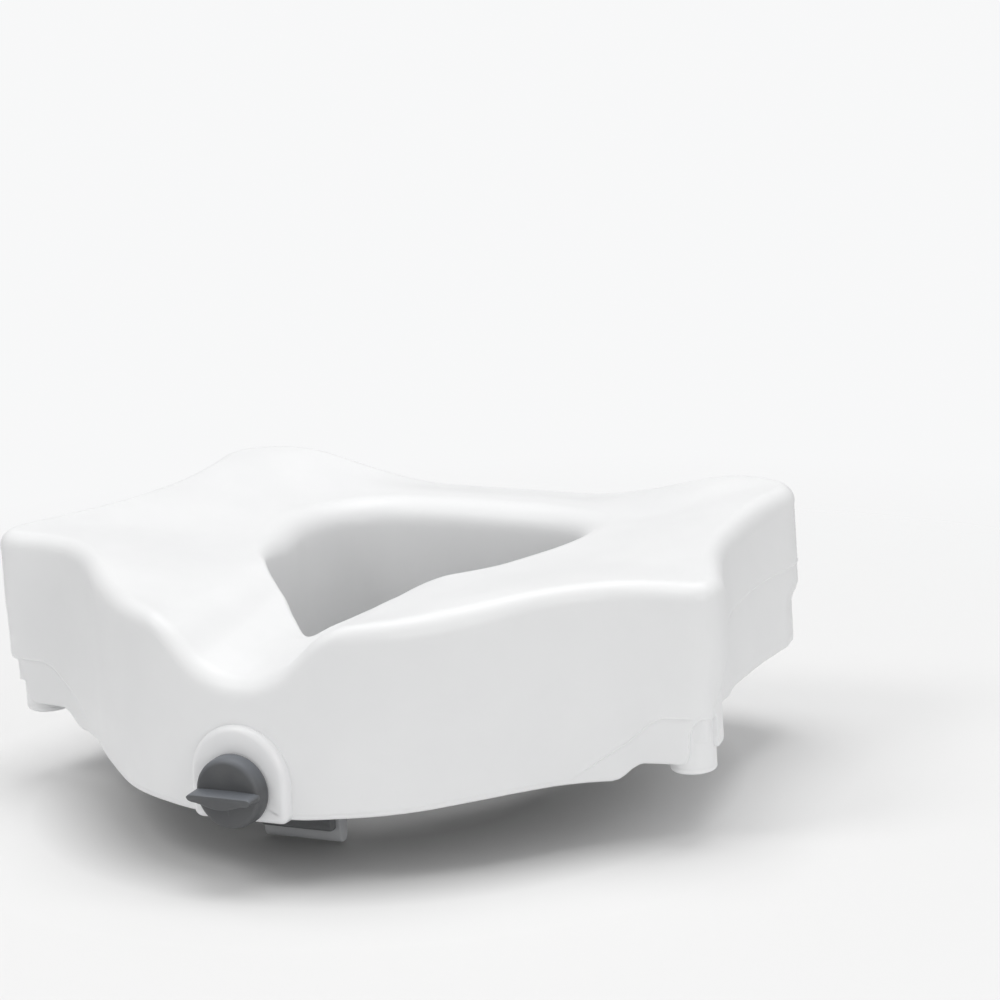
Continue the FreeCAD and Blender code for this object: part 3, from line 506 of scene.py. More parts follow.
def trough_heights(X, Y):
    """Broad scoop down the nose that widens towards the opening."""
    half_width, edge = 90, 89.9
    section = np.interp(np.linspace(0, half_width, 361), *zip(*TROUGH_SECTION))
    section = np.concatenate([section[::-1][:-1], section])
    padded = np.pad(section, 24, mode="reflect", reflect_type="odd")
    section = np.convolve(padded, gaussian(24, 10.0), mode="valid")
    across = np.linspace(-half_width, half_width, 721)
    widening = 1.0 + 0.12 * smoothstep((Y + 100) / 60) + 0.34 * smoothstep((Y + 45) / 65)
    offset = X / widening
    Z = np.interp(np.clip(offset, 0, edge), across, section)
    Z = Z + np.maximum(0, offset - edge) + (Y + 128.0) * 0.1167
    Z -= 2.6 * smoothstep((Y + 85.0) / 45.0) * (1 - smoothstep((Y - 2.0) / 42.0))
    # dimple just in front of the opening
    Z -= 3.8 * np.exp(-(X ** 2 + (Y + 32.0) ** 2) / 72.0)
    return Z


def top_heights():
    """The lower of dish and trough, with a rounded join."""
    X, Y = np.meshgrid(HEIGHT_X, HEIGHT_Y, indexing="ij")
    X = np.abs(X)
    dish, trough = dish_heights(X, Y), trough_heights(X, Y)
    blend = 9.0
    overlap = np.maximum(blend - np.abs(dish - trough), 0) / blend
    return blur(np.minimum(dish, trough) - overlap * overlap * blend * 0.25, 1.2)


TOP = top_heights()


def catmull_rom(a, b, c, d, t):
    return b + 0.5 * t * (c - a + t * (2 * a - 5 * b + 4 * c - d + t * (3 * (b - c) + d - a)))


def top_at(p):
    """Height of the top at plan points p."""
    fx = np.clip((p[:, 0] - HEIGHT_X[0]) / HEIGHT_STEP, 1, len(HEIGHT_X) - 3)
    fy = np.clip((p[:, 1] - HEIGHT_Y[0]) / HEIGHT_STEP, 1, len(HEIGHT_Y) - 3)
    i, j = fx.astype(int), fy.astype(int)
    u, v = fx - i, fy - j
    rows = [catmull_rom(*(TOP[i + k, j + m] for m in (-1, 0, 1, 2)), v) for k in (-1, 0, 1, 2)]
    return catmull_rom(*rows, u)


# ------------------------------------------------------------------ heights round the skirt
# (x, y) on the outline and z there, from the rear to the front
SIDE_EDGE = [
    (184, 190, -88.4), (182, 170, -89.2), (182, 146, -89.0), (184, 129, -88.4),
    (186, 115, -87.3), (189, 100, -85.8), (192, 90, -84.9), (198, 74, -84.6),
    (206.4, 55, -85.6), (214.6, 38, -88.2), (219.8, 27.5, -90.6)]
NOSE_EDGE = [
    (180.5, -1.8, -99.0), (178.5, -2.3, -99.7), (175, -3.4, -102.0), (171.5, -4.8, -105.3),
    (168.5, -6.3, -107.4), (165, -8.4, -108.2), (154, -17, -107.5), (142, -28.8, -106.8),
    (125, -48.5, -106.6), (108.5, -65.5, -107.4), (94, -79.5, -108.2), (79, -92, -108.4),
    (52, -104.5, -109.2), (34, -109, -110.2)]
PARTING = [
    (198.6, 72, -43.0), (214.6, 38, -50.0), (221, 12, -68.0), (212, 2, -72.6),
    (193, 0.5, -73.2), (186, -0.8, -76.0), (174, -4, -86.5), (158, -13.5, -97.0),
    (147, -23, -104.0), (141, -29.5, -106.0)]
# (arc distance past a point of the outline, z) where the edge steps at the front ear
STEP_UP = [(-0.9, -91.4), (-0.3, -90.4), (0, -88.0), (0.05, -76.0), (0.8, -74.2)]
STEP_DOWN = [
    (-2.0, -73.8), (0, -74.6), (1.6, -75.8), (3.2, -77.8), (4.6, -80.6), (5.4, -84.0),
    (5.6, -92.0), (6.0, -94.6), (7.0, -96.8), (8.6, -98.4), (11.0, -99.0)]


def keys_at(table):
    return [(OUTLINE.where(x, y), z) for x, y, z in table]


def keys_past(x, y, table):
    start = OUTLINE.where(x, y)
    return [(start + past, z) for past, z in table]


def along_outline(s, keys):
    """Interpolate (arc position, z) keys, the same on both sides of the seat."""
    s = np.where(s > OUTLINE.length / 2, OUTLINE.length - s, s)
    return np.interp(s, *zip(*keys))


def lower_edge(s):
    return along_outline(s, (
        [(0, -88.0)] + keys_at(SIDE_EDGE) + keys_past(221.9, 15.0, STEP_UP)
        + keys_past(212.0, 2.1, STEP_DOWN) + keys_at(NOSE_EDGE)
        + [(OUTLINE.length / 2, -110.4)]))


def parting_line(s):
    return along_outline(s, [(0, -43.0)] + keys_at(PARTING) + [(OUTLINE.length / 2, -108.0)])


# ------------------------------------------------------------------ seat shell
def outline_stations():
    """Arc positions along the outline, closer together round the ears."""
    n = 6000
    s = np.linspace(0, OUTLINE.length, n, endpoint=False) + OUTLINE.length / n / 2
    p, _ = OUTLINE.at(s)
    side, y = np.abs(p[:, 0]), p[:, 1]
    density = np.full(n, 1 / (2.1))
    density = np.where((side > 150) & (y < 40), 1 / 1.1, density)
    density = np.where((side > 197) & (y < 30), 1 / 0.42, density)
    density = np.where((side > 160) & (y > 195), 1 / 1.4, density)
    wrapped = np.concatenate([density[-40:], density, density[:40]])
    even = np.convolve(wrapped, np.ones(81) / 81, mode="valid")
    total = np.concatenate([[0], np.cumsum(even * OUTLINE.length / n)])
    half = int(round(total[-1] / 2))
    u = np.linspace(0, total[-1], 2 * half, endpoint=False)
    return np.interp(u, total, np.linspace(0, OUTLINE.length, n + 1))


def opening_stations(outer):
    """Points of the opening matched to outer by bearing, and normals into the material."""
    centre = np.array([0.0, 70.0])

    def bearing(p):
        return np.unwrap(np.arctan2(p[:, 0] - centre[0], p[:, 1] - centre[1]))

    dense_s = np.linspace(0, OPENING.length, 20001)
    dense, _ = OPENING.at(dense_s)
    dense[-1] = dense[0]
    s = np.interp(bearing(outer), bearing(dense), dense_s)
    wrapped = np.concatenate([s[-12:] - OPENING.length, s, s[:12] + OPENING.length])
    s = np.convolve(wrapped, gaussian(12, 5.0), mode="valid")
    p, t = OPENING.at(s)
    return p, np.stack([-t[:, 1], t[:, 0]], 1)


def foot_ring_edge(p, q, centre_y=62.0, half_x=150.0, half_y=143.0):
    """Where the lines from p to q cross the ellipse round the foot ring."""
    d = q - p
    A = (d[:, 0] / half_x) ** 2 + (d[:, 1] / half_y) ** 2
    B = 2 * (p[:, 0] * d[:, 0] / half_x ** 2 + (p[:, 1] - centre_y) * d[:, 1] / half_y ** 2)
    C = (p[:, 0] / half_x) ** 2 + ((p[:, 1] - centre_y) / half_y) ** 2 - 1
    t = (-B + np.sqrt(B * B - 4 * A * C)) / (2 * A)
    return p + d * t[:, None]


def top_plan(start, start_normal, end, end_normal):
    """Plan points of the top, from the opening's rounding to the outline's."""
    gap = np.linalg.norm(end - start, axis=1)[:, None]
    start_pull, end_pull = np.minimum(0.3 * gap, 22.0), np.minimum(0.45 * gap, 16.0)
    plan = []
    for q in np.linspace(0, 1, (48) + 1):
        h0, h1 = 2 * q ** 3 - 3 * q ** 2 + 1, -2 * q ** 3 + 3 * q ** 2
        m0, m1 = q ** 3 - 2 * q ** 2 + q, q ** 3 - q ** 2
        plan.append(h0 * start + h1 * end + m0 * start_normal * start_pull
                    - m1 * end_normal * end_pull)
    plan = np.array(plan)
    # even the grid out between its two edges
    for _ in range(60):
        plan[1:-1] = 0.25 * (plan[:-2] + plan[2:] + np.roll(plan, 1, 1)[1:-1]
                             + np.roll(plan, -1, 1)[1:-1])
    return plan[1:-1]


def build_shell():
    edge_radius, wall = 1.5, 3.6         # skirt's lower edge and thickness
    underside = -86.4
    s = outline_stations()
    outer, tangent = OUTLINE.at(s)
    inward = np.stack([tangent[:, 1], -tangent[:, 0]], 1)
    hole, away = opening_stations(outer)
    hole_y = hole[:, 1]
    front = smoothstep((58.0 - hole_y) / 40.0)
    rear = smoothstep((hole_y - 40.0) / 55.0)
    hole_radius = 9.0 - 6.0 * front + 6.5 * rear
    hole = hole - away * (4.4 * rear)[:, None]
    side, y = np.abs(outer[:, 0]), outer[:, 1]
    outer_radius = 9.5 + 1.5 * smoothstep((-y - 25.0) / 45.0)
    edge_z = lower_edge(s)
    ring_edge = foot_ring_edge(hole, outer)
    rows = []

    def row(p, z):
        rows.append(np.column_stack([p, np.full(len(s), z)]))

    # opening wall from the foot to the rounding, then the rounding
    wall_top = top_at(hole + away * hole_radius[:, None]) - hole_radius
    row(hole + away * 1.2, FOOT_Z)
    row(hole + away * 0.25, FOOT_Z + 0.45)
    for q in np.linspace(0.02, 1.0, 14):
        row(hole - away * (0.7 * (1 - q)), (FOOT_Z + 1.4) * (1 - q) + wall_top * q)
    for a in np.linspace(0, math.pi / 2, 10)[1:]:
        p = hole + away * (hole_radius * (1 - math.cos(a)))[:, None]
        row(p, top_at(p) - hole_radius * (1 - math.sin(a)))

    # top and outer rounding
    for p in top_plan(hole + away * hole_radius[:, None], away,
                      outer + inward * outer_radius[:, None], inward):
        row(p, top_at(p))
    for a in np.linspace(math.pi / 2, 0, 11):
        p = outer + inward * (outer_radius * (1 - math.cos(a)))[:, None]
        row(p, top_at(p) - outer_radius * (1 - math.sin(a)))

    # outer wall with a fine parting ridge; rear corners and ear sides step in low down
    skirt_top = top_at(outer) - outer_radius
    parting = np.minimum(parting_line(s), skirt_top - 14)
    parting = np.maximum(parting, edge_z + edge_radius + 2.2)
    ridge_on = smoothstep((parting - edge_z - 4.0) / 6.0)
    corner = smoothstep((side - 146) / 22) * smoothstep((y - 184) / 16)
    ear_side = (smoothstep((side - 192) / 8) * smoothstep((88 - y) / 24)
                * smoothstep((y - 3.0) / 9.0))

    def outset(z, ridge=0.0):
        draft = np.clip((-z - 40.0) * 0.011, -0.4, 0.7)
        step_in = (4.3 * corner * smoothstep((-z - 54.5) / 11.0)
                   + 4.7 * ear_side * smoothstep((-z - 38.0) / 28.0))
        lower = 0.35 * smoothstep((parting - z) / 1.5)
        return draft - step_in - lower + ridge * ridge_on

    def wall_row(z, ridge=0.0):
        row(outer - inward * outset(z, ridge)[:, None], z)

    for q in np.linspace(0, 1, 15)[1:]:
        wall_row(skirt_top * (1 - q) + (parting + 1.3) * q)
    for dz, ridge in ((0.7, 0.05), (0.3, 0.32), (0.0, 0.42), (-0.3, 0.30), (-0.7, 0.04)):
        wall_row(parting + dz, ridge)
    round_z = edge_z + edge_radius
    for q in np.linspace(0, 1, 13):
        wall_row((parting - 1.3) * (1 - q) + round_z * q)

    # lower edge of the skirt, and its inner side
    base = outset(round_z)
    for a in np.linspace(0, math.pi / 2, 5)[1:]:
        row(outer - inward * (base - edge_radius * (1 - math.cos(a)))[:, None],
            edge_z + edge_radius * (1 - math.sin(a)))
    for a in np.linspace(math.pi / 2, 0, 5)[1:]:
        row(outer + inward * (wall - edge_radius * (1 - math.cos(a)) - base)[:, None],
            edge_z + edge_radius * (1 - math.sin(a)))
    inner = outer + inward * (wall - base)[:, None]
    row(inner, round_z * 0.5 + underside * 0.5)
    row(inner + inward * 0.1, underside - 0.6)
    row(inner + inward * 0.7, underside)

    # underside between the skirt and the foot ring, then the ring itself
    for q in (0.12, 0.3, 0.5, 0.7, 0.86, 0.97):
        row(inner * (1 - q) + ring_edge * q + inward * 0.7 * (1 - q), underside)
    to_hole = hole - ring_edge
    to_hole /= np.linalg.norm(to_hole, axis=1)[:, None]
    row(ring_edge + to_hole * 0.15, underside - 0.8)
    row(ring_edge + to_hole * 0.5, FOOT_Z + 2.2)
    row(ring_edge + to_hole * 0.9, FOOT_Z + 0.9)
    foot_outer = ring_edge + to_hole * 2.2
    row(foot_outer, FOOT_Z)
    for q in (0.15, 0.35, 0.55, 0.75, 0.92):
        row(foot_outer * (1 - q) + (hole + away * 1.2) * q, FOOT_Z)
    return grid("seat_shell_visual", np.stack(rows, 1))


shell = build_shell()
for side in (1, -1):
    for x, y, end, full, top, _ in (FRONT_COLUMN, REAR_COLUMN):
        column = lathe("column", [(end, 12.0), (end + 0.6, 12.4), (full, 12.5), (top, 12.5)],
                       centre=(side * x, y), axis="z")
        boolean(shell, column, "UNION")
# bay for the clamp under the nose, and the way through its front wall for the bezel
boolean(shell, box_tool((-46, -104, -130), (46, 30, -80)), "DIFFERENCE")
boolean(shell, prism("tool", rectangle(-18.6, 18.6, -103.2, -73.4), "xz", -130, -90, bevel=0),
        "DIFFERENCE")
piece(shell, "seat", WHITE, "seat_shell")


# ------------------------------------------------------------------ bezel
def arch_outline(half_width=28.6, low=-111.4, spring=-88.0, radius=5.0):
    """Flat bottom, rounded lower corners and a half-circle top, as (x, z).

    Runs from the bottom centre up the right side, over the top and back."""
    def arc(cx, cz, r, start, sweep, n):
        angles = [math.radians(start + sweep * k / n) for k in range(1, n + 1)]
        return [(cx + r * math.cos(a), cz + r * math.sin(a)) for a in angles]

    pts = [(x, low) for x in np.linspace(0, half_width - radius, 9)]
    pts += arc(half_width - radius, low + radius, radius, -90, 90, 6)
    pts += [(half_width, z) for z in np.linspace(low + radius, spring, 8)[1:]]
    pts += arc(0, spring, half_width, 0, 90, 26)
    return np.array(pts + [(-x, z) for x, z in pts[::-1][1:-1]])


def bezel_flange():
    front, back = -117.0, -108.0
    rounding = 3.4
    rim = arch_outline()
    centre = np.array([0.0, SCREW_Z])
    d = np.roll(rim, -1, 0) - np.roll(rim, 1, 0)
    outward = np.stack([d[:, 1], -d[:, 0]], 1)
    outward /= np.linalg.norm(outward, axis=1)[:, None]
    bearing = np.arctan2(rim[:, 0] - centre[0], rim[:, 1] - centre[1])
    spoke = np.stack([np.sin(bearing), np.cos(bearing)], 1)
    hub = centre + 8.3 * spoke
    hub_front = centre + 8.9 * spoke
    rows = []

    def row(p, y):
        rows.append(np.column_stack([p[:, 0], np.full(len(p), y), p[:, 1]]))

    row(hub, back)
    row(hub, front + 0.6)
    row(hub_front, front)
    inner = rim - outward * (rounding + 3.0)
    for q in (0.15, 0.35, 0.55, 0.75, 0.9):
        row(hub_front * (1 - q) + inner * q, front)
    row(inner, front)
    row(rim - outward * (rounding + 1.2), front)
    for a in np.linspace(math.pi / 2, 0, 8):
        row(rim - outward * (rounding * (1 - math.cos(a))),
            front + rounding * (1 - math.sin(a)))
    row(rim, front + rounding + 1.5)
    row(rim, back - 0.6)
    row(rim - outward * 0.6, back)
    for q in (0.3, 0.6, 0.9):
        row(rim * (1 - q) + hub * q, back)
    return grid("knob_bezel_visual", np.stack(rows, 1), angle=40)


bezel = bezel_flange()
boolean(bezel, prism("block", rectangle(-18, 18, -102.5, -74), "xz", -108.3, -98.0, bevel=0.8),
        "UNION", 40)
boolean(bezel, lathe("bore", [(-125, 8.25), (-105.0, 8.25), (-104.9, 5.2), (-90, 5.2)], seg=56),
        "DIFFERENCE", 40)
piece(bezel, "seat", COVER, "knob_bezel")

# ------------------------------------------------------------------ knob
# (y, radius), from the rear of the sleeve to the front face
KNOB_PROFILE = [
    (-105.0, 7.6), (-105.4, 8.0), (-117.8, 8.0), (-118.2, 8.3), (-118.2, 18.8),
    (-118.5, 19.45), (-119.1, 19.7), (-121.0, 19.66), (-123.2, 19.55), (-125.2, 19.4),
    (-126.4, 19.1), (-127.2, 18.6), (-127.9, 17.9), (-128.35, 17.1), (-128.5, 16.2),
    (-128.4, 13.0), (-128.3, 8.0), (-128.25, 1.0)]
# (y, thickness scale), from the disc to the blade's front edge
BLADE_LAYERS = [
    (-127.0, 1.10), (-128.5, 1.04), (-130.0, 1.0), (-133.0, 0.94), (-135.8, 0.88),
    (-137.2, 0.81), (-137.8, 0.70), (-138.0, 0.52)]


def knob_blade():
    """Finger blade: nearly flat on top, full below, thinner towards its front edge."""
    length, z_mid = 19.2, -92.9          # half length, and height of the dividing plane
    inset = np.array([0.0, 0.15, 0.6, 1.3, 2.2])
    xs = np.concatenate([-length + inset, np.linspace(-length + 3.6, length - 3.6, 33),
                         length - inset[::-1]])
    rows = []
    for y, k in BLADE_LAYERS:
        upper, lower = [], []
        for x in xs:
            q = abs(x) / length
            past = max(0.0, (abs(x) - (length - 3.2)) / 3.2)
            end = max(math.sqrt(max(0.0, 1 - past ** 2)), 0.06)
            above = (1.9 + 0.2 * (1 - q * q)) * k
            below = (3.3 + 3.9 * (0.5 + 0.5 * math.cos(math.pi * min(1, q * 1.1)))) * k
            px = x * (0.985 + 0.015 * k)
            upper.append((px, y, z_mid + above * end))
            lower.append((px, y, z_mid - below * end))
        rows.append(upper + lower[::-1])
    return grid("blade", np.array(rows).transpose(1, 0, 2), wrap_v=False, angle=50)


knob = lathe("front_knob_visual", KNOB_PROFILE, seg=112, angle=50)
boolean(knob, knob_blade(), "UNION", 42)
piece(knob, "knob", GREY, "front_knob")


# ------------------------------------------------------------------ lead screw and its rings
def lead_screw():
    """Plain shank with a groove for the retaining ring, then a helical thread."""
    seg = 48
    pitch, shank, root, thread_depth = 3.0, 4.9, 4.15, 0.78
    groove = 4.05
    thread_start, thread_end = -94.0, -15.2
    turn = np.linspace(0, 2 * np.pi, seg, endpoint=False)
    profile = [(-117.0, 4.5), (-116.5, shank), (-97.0, shank), (-96.8, shank),
               (-96.79, groove), (-95.61, groove), (-95.6, shank), (thread_start, shank)]
    y = thread_start + 0.3
    while y < thread_end:
        phase = np.mod(y / pitch - turn / (2 * np.pi), 1.0)
        ridge = np.clip((np.abs(phase - 0.5) * 2 - 0.14) / 0.72, 0, 1)
        run_in = min(1.0, (y - thread_start) / 3.0)
        profile.append((y, shank * (1 - run_in) + (root + thread_depth * ridge) * run_in))
        y += 0.375
    profile += [(-15.0, 4.2), (-14.2, 4.1), (-14.0, 3.6)]
    return lathe("lead_screw_visual", profile, seg=seg, angle=60)


def retaining_ring():
    """Open ring in the screw's groove, with its gap at the bottom."""
    back, front, inner, outer = -95.7, -96.7, 4.1, 7.9
    gap, chamfer = 38.0, 0.2             # half gap in degrees; chamfer in mm
    profile = [(front, inner), (front, outer - chamfer), (front + chamfer, outer),
               (back - chamfer, outer), (back, outer - chamfer), (back, inner)]
    bm = bmesh.new()
    rings = []
    for a in np.radians(np.linspace(-180 + gap, 180 - gap, 44)):
        rings.append([bm.verts.new(world((r * math.sin(a), y, SCREW_Z + r * math.cos(a))))
                      for y, r in profile])
    n = len(profile)
    for near, far in zip(rings[:-1], rings[1:]):
        for j in range(n):
            bm.faces.new((near[j], far[j], far[(j + 1) % n], near[(j + 1) % n]))
    bm.faces.new(rings[0])
    bm.faces.new(rings[-1][::-1])
    return from_bm("retaining_ring_visual", bm)


# (y, radius)
END_CAP = [(-21.0, 5.2), (-21.0, 6.9), (-20.4, 7.5), (-13.4, 7.5), (-12.2, 7.1), (-11.4, 6.2),
           (-11.0, 4.8), (-11.0, 1.0)]
THRUST_WASHER = [(-118.1, 8.3), (-118.1, 12.7), (-117.9, 13.0), (-117.2, 13.0),
                 (-117.05, 12.7), (-117.05, 8.3)]
INNER_WASHER = [(-97.95, 5.3), (-97.95, 9.8), (-97.8, 10.0), (-97.0, 10.0), (-96.85, 9.8),
                (-96.85, 5.3)]

piece(lead_screw(), "knob", STEEL, "lead_screw")
piece(lathe("screw_end_cap_visual", END_CAP, seg=48), "knob", NYLON, "screw_end_cap")
piece(retaining_ring(), "knob", STEEL, "retaining_ring")
piece(lathe("thrust_washer_visual", THRUST_WASHER, ring=True),
      "seat", NYLON, "thrust_washer")
piece(lathe("inner_washer_visual", INNER_WASHER, ring=True),
      "seat", STEEL, "inner_washer")

# ------------------------------------------------------------------ jaw guide, jaw and nut
# Right halves of the sections, (x, z)
GUIDE_HALF = [(42, -80.05), (42, -82.4), (31, -82.4), (31, -99), (24.5, -99), (24.5, -96.5),
              (28.5, -96.5), (28.5, -82.5)]
JAW_HALF = [(27.2, -83.1), (27.2, -95.9), (23.5, -95.9), (23.5, -101.2)]
# Side view of the jaw's leg, (y, z)
JAW_LEG = [(-54, -100.2), (-54, -136), (-53.4, -139.6), (-52.2, -141.6), (-50.2, -142.0),
           (-47.6, -141.6), (-46.2, -139.8), (-45.4, -136.5), (-44.6, -112), (-44.2, -100.2)]
NUT_HALF_WIDTH, NUT_FRONT, NUT_BACK = 9, -62.0, -52.0
NUT_CLEARANCE = 0.05

guide = prism("jaw_guide_visual", mirrored(GUIDE_HALF), "xz", -96.0, -42.0, bevel=0.45)
for place in GUIDE_SCREWS:
    boolean(guide, rod(-84, -78, 1.9, centre=place, axis="z", seg=24), "DIFFERENCE")
piece(guide, "seat", GUIDE, "jaw_guide")

jaw = prism("clamp_jaw_visual", mirrored(JAW_HALF), "xz", -66.0, -44.0, bevel=0.8)
boolean(jaw, prism("leg", JAW_LEG, "yz", -23.5, 23.5, bevel=0.6), "UNION")
# the screw's way through, and the bay that holds the nut
boolean(jaw, rod(-70, -40, 5.6, seg=48), "DIFFERENCE")
bay_half_width = NUT_HALF_WIDTH + NUT_CLEARANCE
boolean(jaw, prism("tool", rectangle(-bay_half_width, bay_half_width, -101.3, -81.0), "xz",
                   NUT_FRONT - NUT_CLEARANCE, NUT_BACK + NUT_CLEARANCE, bevel=0), "DIFFERENCE")
piece(jaw, "jaw", GUIDE, "clamp_jaw")

nut = prism("clamp_nut_visual", rectangle(-NUT_HALF_WIDTH, NUT_HALF_WIDTH, -101, -85), "xz",
            NUT_FRONT, NUT_BACK, bevel=0.7)
boolean(nut, rod(-64, -50, 5.05, seg=48), "DIFFERENCE")
piece(nut, "jaw", BRASS, "clamp_nut")


def clamp_pad_ribs(p):
    """Fine horizontal grooves across the pad's front face."""
    x, y, z = p
    if y < -58.5 and abs(x) < 20.5 and -132.5 < z < -106.0:
        y += wave(z, origin=-106.0, pitch=3.3, depth=0.55)
    return (x, y, z)


piece(rounded_box("clamp_pad_visual", (-22, -60, -134), (22, -54, -104.5), radius=1.9,
                  cells=(10, 2, 60), shape=clamp_pad_ribs),
      "jaw", RUBBER, "clamp_pad")

# ------------------------------------------------------------------ rear hooks
# Side view, (y, z)
HOOK_PROFILE = [
    (200.0, -100.05), (200.0, -103.0), (177.5, -103.0), (176.4, -103.4), (175.7, -104.2),
    (175.5, -105.2), (175.5, -140.6), (175.0, -141.6), (174.0, -142.0), (172.8, -141.7),
    (172.5, -140.6), (172.5, -105.0), (172.2, -102.2), (171.5, -100.9), (171.5, -100.05)]

for side, label, screws in ((1, "right", HOOK_SCREWS[:2]), (-1, "left", HOOK_SCREWS[2:])):
    hook = prism("rear_hook_%s_visual" % label, HOOK_PROFILE, "yz",
                 side * HOOK_X - 17.0, side * HOOK_X + 17.0, bevel=0.35)
    for place in screws:
        boolean(hook, rod(-106, -97, 1.85, centre=place, axis="z", seg=24), "DIFFERENCE")
        boolean(hook, rod(-106, HOOK_SCREW_SEAT, 3.45, centre=place, axis="z", seg=28),
                "DIFFERENCE")
    piece(hook, "seat", STEEL, "rear_hook_%s" % label)


def hook_pad_ribs(p):
    x, y, z = p
    if y > 178.4 and -136.5 < z < -109.5:
        y -= wave(z, origin=-109.5, pitch=3.0, depth=0.5)
    return (x, y, z)


hook_pads = [rounded_box("pad", (side * HOOK_X - 15.5, 175.5, -138),
                         (side * HOOK_X + 15.5, 179.5, -108), radius=1.3, cells=(8, 2, 54),
                         shape=hook_pad_ribs) for side in (1, -1)]
piece(joined("rear_hook_pads_visual", hook_pads),
      "seat", RUBBER, "rear_hook_pads")


# ------------------------------------------------------------------ rim pads, caps, plug
def rim_pad(x_mid, y_mid):
    """Pad under the foot ring, with grooves across its lower face."""
    def ribs(p):
        x, y, z = p
        if z < -102.4:
            z += wave(y, origin=y_mid, pitch=4.0, depth=0.5)
        return (x, y, z)

    return rounded_box("pad", (x_mid - 9, y_mid - 22, -103), (x_mid + 9, y_mid + 22, FOOT_Z),
                       radius=1.0, cells=(4, 60, 1), seg=3, shape=ribs)


rim_pads = [rim_pad(x, y) for x, y in ((124, 20), (-124, 20), (124, 118), (-124, 118))]
piece(joined("rim_pads_visual", rim_pads), "seat", RUBBER, "rim_pads")

# (height above the cap's face, radius)
CAP_PROFILE = [(3.0, 12.3), (2.7, 12.5), (1.6, 12.5), (0.8, 12.2), (0.2, 11.5), (0, 10.6),
               (0, 8.6), (0.5, 8.2), (0.5, 0.8)]
caps = []
for x, y, _, _, _, face in (FRONT_COLUMN, REAR_COLUMN):
    profile = [(face + height, radius) for height, radius in CAP_PROFILE]
    for side in (1, -1):
        caps.append(lathe("cap", profile, centre=(side * x, y), axis="z", seg=56))
piece(joined("column_caps_visual", caps), "seat", COVER, "column_caps")

# (z, radius)
VENT_PLUG = [(-99.9, 9.0), (-101.0, 9.0), (-101.45, 8.6), (-101.6, 8.0), (-101.6, 3.6),
             (-100.9, 3.2), (-100.9, 0.6)]
piece(lathe("vent_plug_visual", VENT_PLUG, centre=(0, 190), axis="z", seg=48),
      "seat", COVER, "vent_plug")


# ------------------------------------------------------------------ screws
def screw_head(place, axis, height):
    """Domed head with a cross recess, seated at place. It faces down for axis z and to
    the rear for axis y."""
    k, out = (2, -1) if axis == "z" else (1, 1)
    radius, shank = 3.2, 1.5
    # (distance out from the seat, radius)
    shape = [(-4.0, shank), (-0.05, shank), (0.0, radius * 0.9), (0.0, radius),
             (height * 0.35, radius * 0.98), (height * 0.7, radius * 0.84),
             (height * 0.93, radius * 0.6), (height, radius * 0.35), (height, radius * 0.05)]
    head = lathe("screw", [(place[k] + out * distance, r) for distance, r in shape],
                 centre=np.delete(place, k), axis=axis, seg=36)
    tip = np.array(place, float)
    tip[k] += out * height
    for arms in ((1.7, 0.4), (0.4, 1.7)):
        half = np.insert(arms, k, 1.0)
        boolean(head, box_tool(tip - half, tip + half), "DIFFERENCE")
    return head


guide_heads = [screw_head((x, y, -82.55), "z", height=2.0) for x, y in GUIDE_SCREWS]
piece(joined("guide_screws_visual", guide_heads), "seat", STEEL, "guide_screws")
hook_heads = [screw_head((x, y, HOOK_SCREW_SEAT), "z", height=1.7) for x, y in HOOK_SCREWS]
piece(joined("rear_hook_screws_visual", hook_heads),
      "seat", STEEL, "rear_hook_screws")
bezel_heads = [screw_head((x, -104.9, z), "y", height=1.9)
               for z in (-80.0, -98.0) for x in (23.6, -23.6)]
piece(joined("bezel_screws_visual", bezel_heads), "seat", STEEL, "bezel_screws")


# ------------------------------------------------------------------ floor, light, camera
def floor_material():
    """Matt ground with painted shade under the opening; it fades out with distance and can't be
    seen from below.
    """
    material, tree, surface, coords, output = new_material("studio_floor")
    distance = tree.nodes.new("ShaderNodeVectorMath")
    distance.operation = "LENGTH"
    tree.links.new(coords.outputs["Object"], distance.inputs[0])
    # painted shade: darker ground under the opening, standing in for the shade under the seat
    away = remap(tree, distance.outputs["Value"], source=(0.09, 0.2))
    colour = mix_color(tree, away, (0.30, 0.30, 0.30), (0.86, 0.86, 0.86))
    tree.links.new(colour, surface.inputs["Base Color"])
    surface.inputs["Roughness"].default_value = 0.85
    clear = tree.nodes.new("ShaderNodeBsdfTransparent")
    mix = tree.nodes.new("ShaderNodeMixShader")
    geometry = tree.nodes.new("ShaderNodeNewGeometry")
    most = tree.nodes.new("ShaderNodeMath")
    most.operation = "MAXIMUM"
    fade = remap(tree, distance.outputs["Value"], source=(0.26, 0.75))
    tree.links.new(fade, most.inputs[0])
    tree.links.new(geometry.outputs["Backfacing"], most.inputs[1])
    tree.links.new(most.outputs[0], mix.inputs[0])
    tree.links.new(surface.outputs[0], mix.inputs[1])
    tree.links.new(clear.outputs[0], mix.inputs[2])
    tree.links.new(mix.outputs[0], output.inputs[0])
    return material


def studio_floor():
    half, z = 8, -0.0015                 # metres
    corners = [(x, y, z) for x in (-half, half) for y in (-half, half)]
    mesh = bpy.data.meshes.new("floor")
    mesh.from_pydata(corners, [], [(0, 2, 3, 1)])
    ob = new_object("studio_floor", mesh)
    mesh.materials.append(floor_material())


